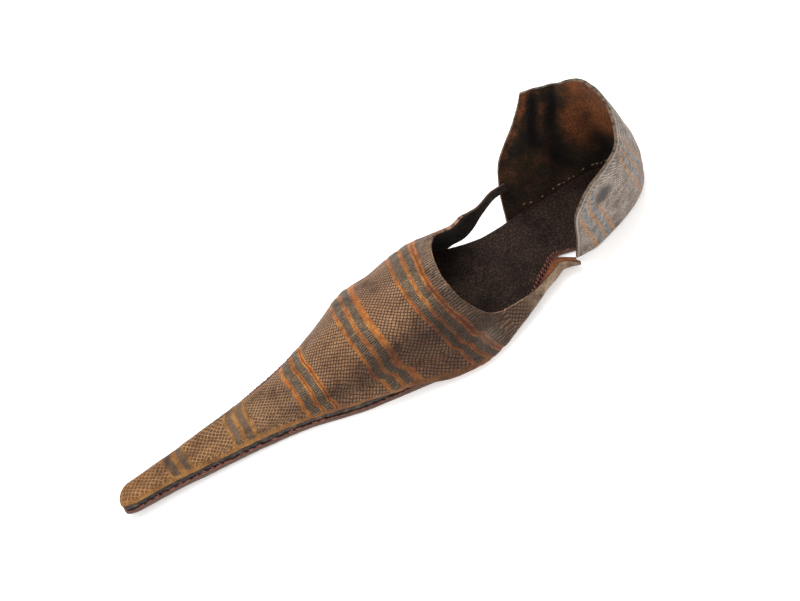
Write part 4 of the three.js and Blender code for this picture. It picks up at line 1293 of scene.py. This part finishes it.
# Cut edge of the calf: paler than its faces, fibrous, a little dirty.
def cut_edge(name, pale, dirty, clean_part=None):
    finish, add, place = new_finish(name)
    cloud = mottle(add, place, 3.0, 5.0, 0.65)
    if clean_part:
        along = map_part(add, "round", 0)
        handled = slope(add, along, clean_part[0], clean_part[1], 0, 0.35)
        cloud = minus(add, cloud, handled)
    colour = shades(add, cloud, (0.35, dirty), (0.6, pale))
    fibre = mottle(add, place, 0.6, 3.0)
    finished(add, colour, 0.8, fibre, 0.3 * MM, {"IOR": 1.5, "Specular IOR Level": 0.25})
    return finish


# Inside face of the sole: thick cow hide, trodden flat and blackened, with a coarse open grain.
def trodden_sole():
    finish, add, place = new_finish("trodden_sole_leather")
    crumb = mottle(add, place, 1.1, 4.0, 0.7)
    cloud = mottle(add, place, 18.0, 4.0)
    colour = shades(add, crumb, (0.36, "#19130f"), (0.5, "#2e231c"), (0.66, "#5a4538"))
    shade = shades(add, cloud, (0.35, "#a39a94"), (0.6, "#ffffff"))
    colour = darkened(add, 1.0, colour, shade)
    finished(add, colour, 0.9, crumb, 0.6 * MM, {"IOR": 1.5, "Specular IOR Level": 0.2})
    return finish


# Edge of the sole: layered fibres in grey-brown and pinkish red, split by wear.
def layered_edge():
    finish, add, place = new_finish("layered_sole_edge")
    height = map_part(add, "edge", 1)
    haze = mottle(add, add("VectorMath", [place, (1, 1, 3)], operation="MULTIPLY"), 2.2, 5.0, 0.7)
    layer = add("Math", [times_plus(add, haze, 0.9, height), 1.4], operation="DIVIDE")
    colour = shades(add, layer, (0.25, "#3c322c"), (0.5, "#7d685b"), (0.75, "#4a3a33"), (0.88, "#8a6052"),
                    (1.0, "#40261f"))
    relief = mottle(add, add("VectorMath", [place, (0.4, 0.4, 2.5)], operation="MULTIPLY"), 0.9, 4.0)
    finished(add, colour, 0.82, relief, 0.5 * MM, {"IOR": 1.5, "Specular IOR Level": 0.25})
    return finish


# Ground face of the sole: scuffed flat and dusty, with long scratches.
def scuffed_ground():
    finish, add, place = new_finish("scuffed_sole_leather")
    cloud = mottle(add, place, 14.0, 6.0, 0.65)
    scratch = mottle(add, add("VectorMath", [place, (0.15, 1.2, 1)], operation="MULTIPLY"), 0.8, 3.0)
    colour = shades(add, cloud, (0.35, "#463729"), (0.55, "#6b5644"), (0.7, "#80694f"))
    shade = shades(add, scratch, (0.4, "#b5aaa0"), (0.6, "#ffffff"))
    colour = darkened(add, 1.0, colour, shade)
    finished(add, colour, 0.7, scratch, 0.3 * MM, {"IOR": 1.5, "Specular IOR Level": 0.3})
    return finish


# Rand: a strip of greased black calf with a slight wax shine on its raised parts.
def waxed_rand():
    finish, add, place = new_finish("waxed_rand_leather")
    cloud = mottle(add, place, 4.0, 6.0, 0.7)
    colour = shades(add, cloud, (0.36, "#16120f"), (0.52, "#2e2621"), (0.68, "#6a5546"))
    relief = mottle(add, place, 1.2, 4.0)
    finished(add, colour, 0.55, relief, 0.4 * MM, {"IOR": 1.5, "Specular IOR Level": 0.4})
    return finish


# Linen thread, spun in two strands and waxed: the strands show as slanting ridges.
def waxed_linen(name, pale, dark):
    finish, add, place = new_finish(name)
    strand = add("TexWave", {"Vector": place, "Scale": 0.9, "Distortion": 1.5}, out=1,
                 bands_direction="DIAGONAL")
    colour = painted(add, mottle(add, place, 1.5), linear(dark), linear(pale))
    finished(add, colour, 0.65, strand, 0.12 * MM, {"IOR": 1.53, "Specular IOR Level": 0.35})
    return finish


def make_shoe():
    """Makes every piece of the shoe with its finish."""
    leather_piece("vamp", "upper_vamp", vamp_sheet(), [
        engraved_calf(),
        worn_flesh("vamp_flesh_side", "#1d1914", "#3f342b", linear("#a9602f"), rust_inside_wing),
        cut_edge("vamp_cut_edge", "#bd9379", "#4a3426", (-0.05, -0.12)),
    ])
    leather_piece("heel_piece", "upper_quarters", heel_sheet(), [
        bleached_calf(),
        worn_flesh("heel_flesh_side", "#1a140c", "#3f2c1b", linear("#b0693a"), rust_inside_heel),
        cut_edge("heel_cut_edge", "#7d6b5a", "#33261b"),
    ])
    leather_piece("sole_leather", "sole", sole_mesh(),
                  [trodden_sole(), layered_edge(), scuffed_ground()])
    leather_piece("rand_strip", "rand", rand_mesh(), [waxed_rand()])
    toe_thread = waxed_linen("reddened_linen_thread", "#b87468", "#5e2a22")
    thread_piece("lasting_thread", lasting_stitches(), toe_thread)
    thread_piece("waist_thread", waist_stitches(), toe_thread)
    thread_piece("outer_rand_thread", far_edge_stitches(), toe_thread)
    heel_thread = waxed_linen("plain_linen_thread", "#b79c84", "#6d503c")
    thread_piece("heel_thread", heel_stitches(), heel_thread)


FLOOR_SIZE = 6.0


# Floor: plain pale board, matt, lit a little from below so that shadows stay faint.
def painted_board():
    finish, add, place = new_finish("matt_white_painted_board")
    cloud = mottle(add, place, 300.0, 2.0)
    colour = painted(add, cloud, linear("#f7f7f6"), linear("#fbfbfb"))
    glow = {"Specular IOR Level": 0.1, "Emission Color": (1, 1, 1, 1), "Emission Strength": 0.4}
    finished(add, colour, 0.9, mottle(add, place, 1.0), 0.01 * MM, glow)
    return finish


def lay_floor():
    """A plain pale floor under the shoe."""
    mesh = bpy.data.meshes.new("floor")
    half = FLOOR_SIZE / 2
    corners = [(-half, -half, 0), (half, -half, 0), (half, half, 0), (-half, half, 0)]
    mesh.from_pydata(corners, [], [[0, 1, 2, 3]])
    mesh.materials.append(painted_board())
    floor = bpy.data.objects.new("floor", mesh)
    bpy.context.scene.collection.objects.link(floor)


SKY_STRENGTH = 0.86
LAMPS = (
    # name, place in metres, size in metres, watts
    ("overhead_softbox", (-0.25, -0.5, 1.6), 1.6, 10),
    ("side_softbox", (0.5, 1.2, 1.2), 1.2, 3),
)


def light_studio():
    """Soft white light from all around, with a wide lamp overhead."""
    world = bpy.data.worlds.new("studio")
    world.use_nodes = True
    background = world.node_tree.nodes["Background"]
    background.inputs["Color"].default_value = (1, 1, 1, 1)
    background.inputs["Strength"].default_value = SKY_STRENGTH
    bpy.context.scene.world = world
    for name, place, size, power in LAMPS:
        light = bpy.data.lights.new(name, "AREA")
        light.shape = "DISK"
        light.size = size
        light.energy = power
        lamp = bpy.data.objects.new(name, light)
        lamp.location = place
        lamp.rotation_euler = (-Vector(place)).to_track_quat("-Z", "Y").to_euler()
        bpy.context.scene.collection.objects.link(lamp)
    bpy.context.scene.view_settings.view_transform = "Standard"


CAMERA_AIM = Vector((1.44, -0.06, 20)) * MM
CAMERA_AWAY = 1400 * MM
CAMERA_AROUND = math.radians(85.8)
CAMERA_UP = math.radians(45)
CAMERA_ROLL = math.radians(31.2)
PHOTO_SIZE = (800, 601)
PHOTO_AIM = (379, 327.5)
PHOTO_SCALE = 1.955
SENSOR = 36.0


def set_camera():
    """The camera at the photograph's angle, rolled as the photograph is."""
    outwards = Vector((math.cos(CAMERA_AROUND) * math.cos(CAMERA_UP),
                       math.sin(CAMERA_AROUND) * math.cos(CAMERA_UP), math.sin(CAMERA_UP)))
    level = Vector((-math.sin(CAMERA_AROUND), math.cos(CAMERA_AROUND), 0))
    upright = outwards.cross(level)
    right = level * math.cos(CAMERA_ROLL) - upright * math.sin(CAMERA_ROLL)
    top = level * math.sin(CAMERA_ROLL) + upright * math.cos(CAMERA_ROLL)
    camera = bpy.data.cameras.new("camera")
    camera.sensor_width = SENSOR
    camera.lens = SENSOR * CAMERA_AWAY * PHOTO_SCALE / MM / PHOTO_SIZE[0]
    camera.shift_x = (PHOTO_SIZE[0] / 2 - PHOTO_AIM[0]) / PHOTO_SIZE[0]
    camera.shift_y = (PHOTO_AIM[1] - PHOTO_SIZE[1] / 2) / PHOTO_SIZE[0]
    camera.clip_start = 0.05
    holder = bpy.data.objects.new("camera", camera)
    turn = Matrix((right, top, outwards)).transposed().to_4x4()
    holder.matrix_world = Matrix.Translation(CAMERA_AIM + outwards * CAMERA_AWAY) @ turn
    bpy.context.scene.collection.objects.link(holder)
    bpy.context.scene.camera = holder


set_camera()
make_shoe()
lay_floor()
light_studio()
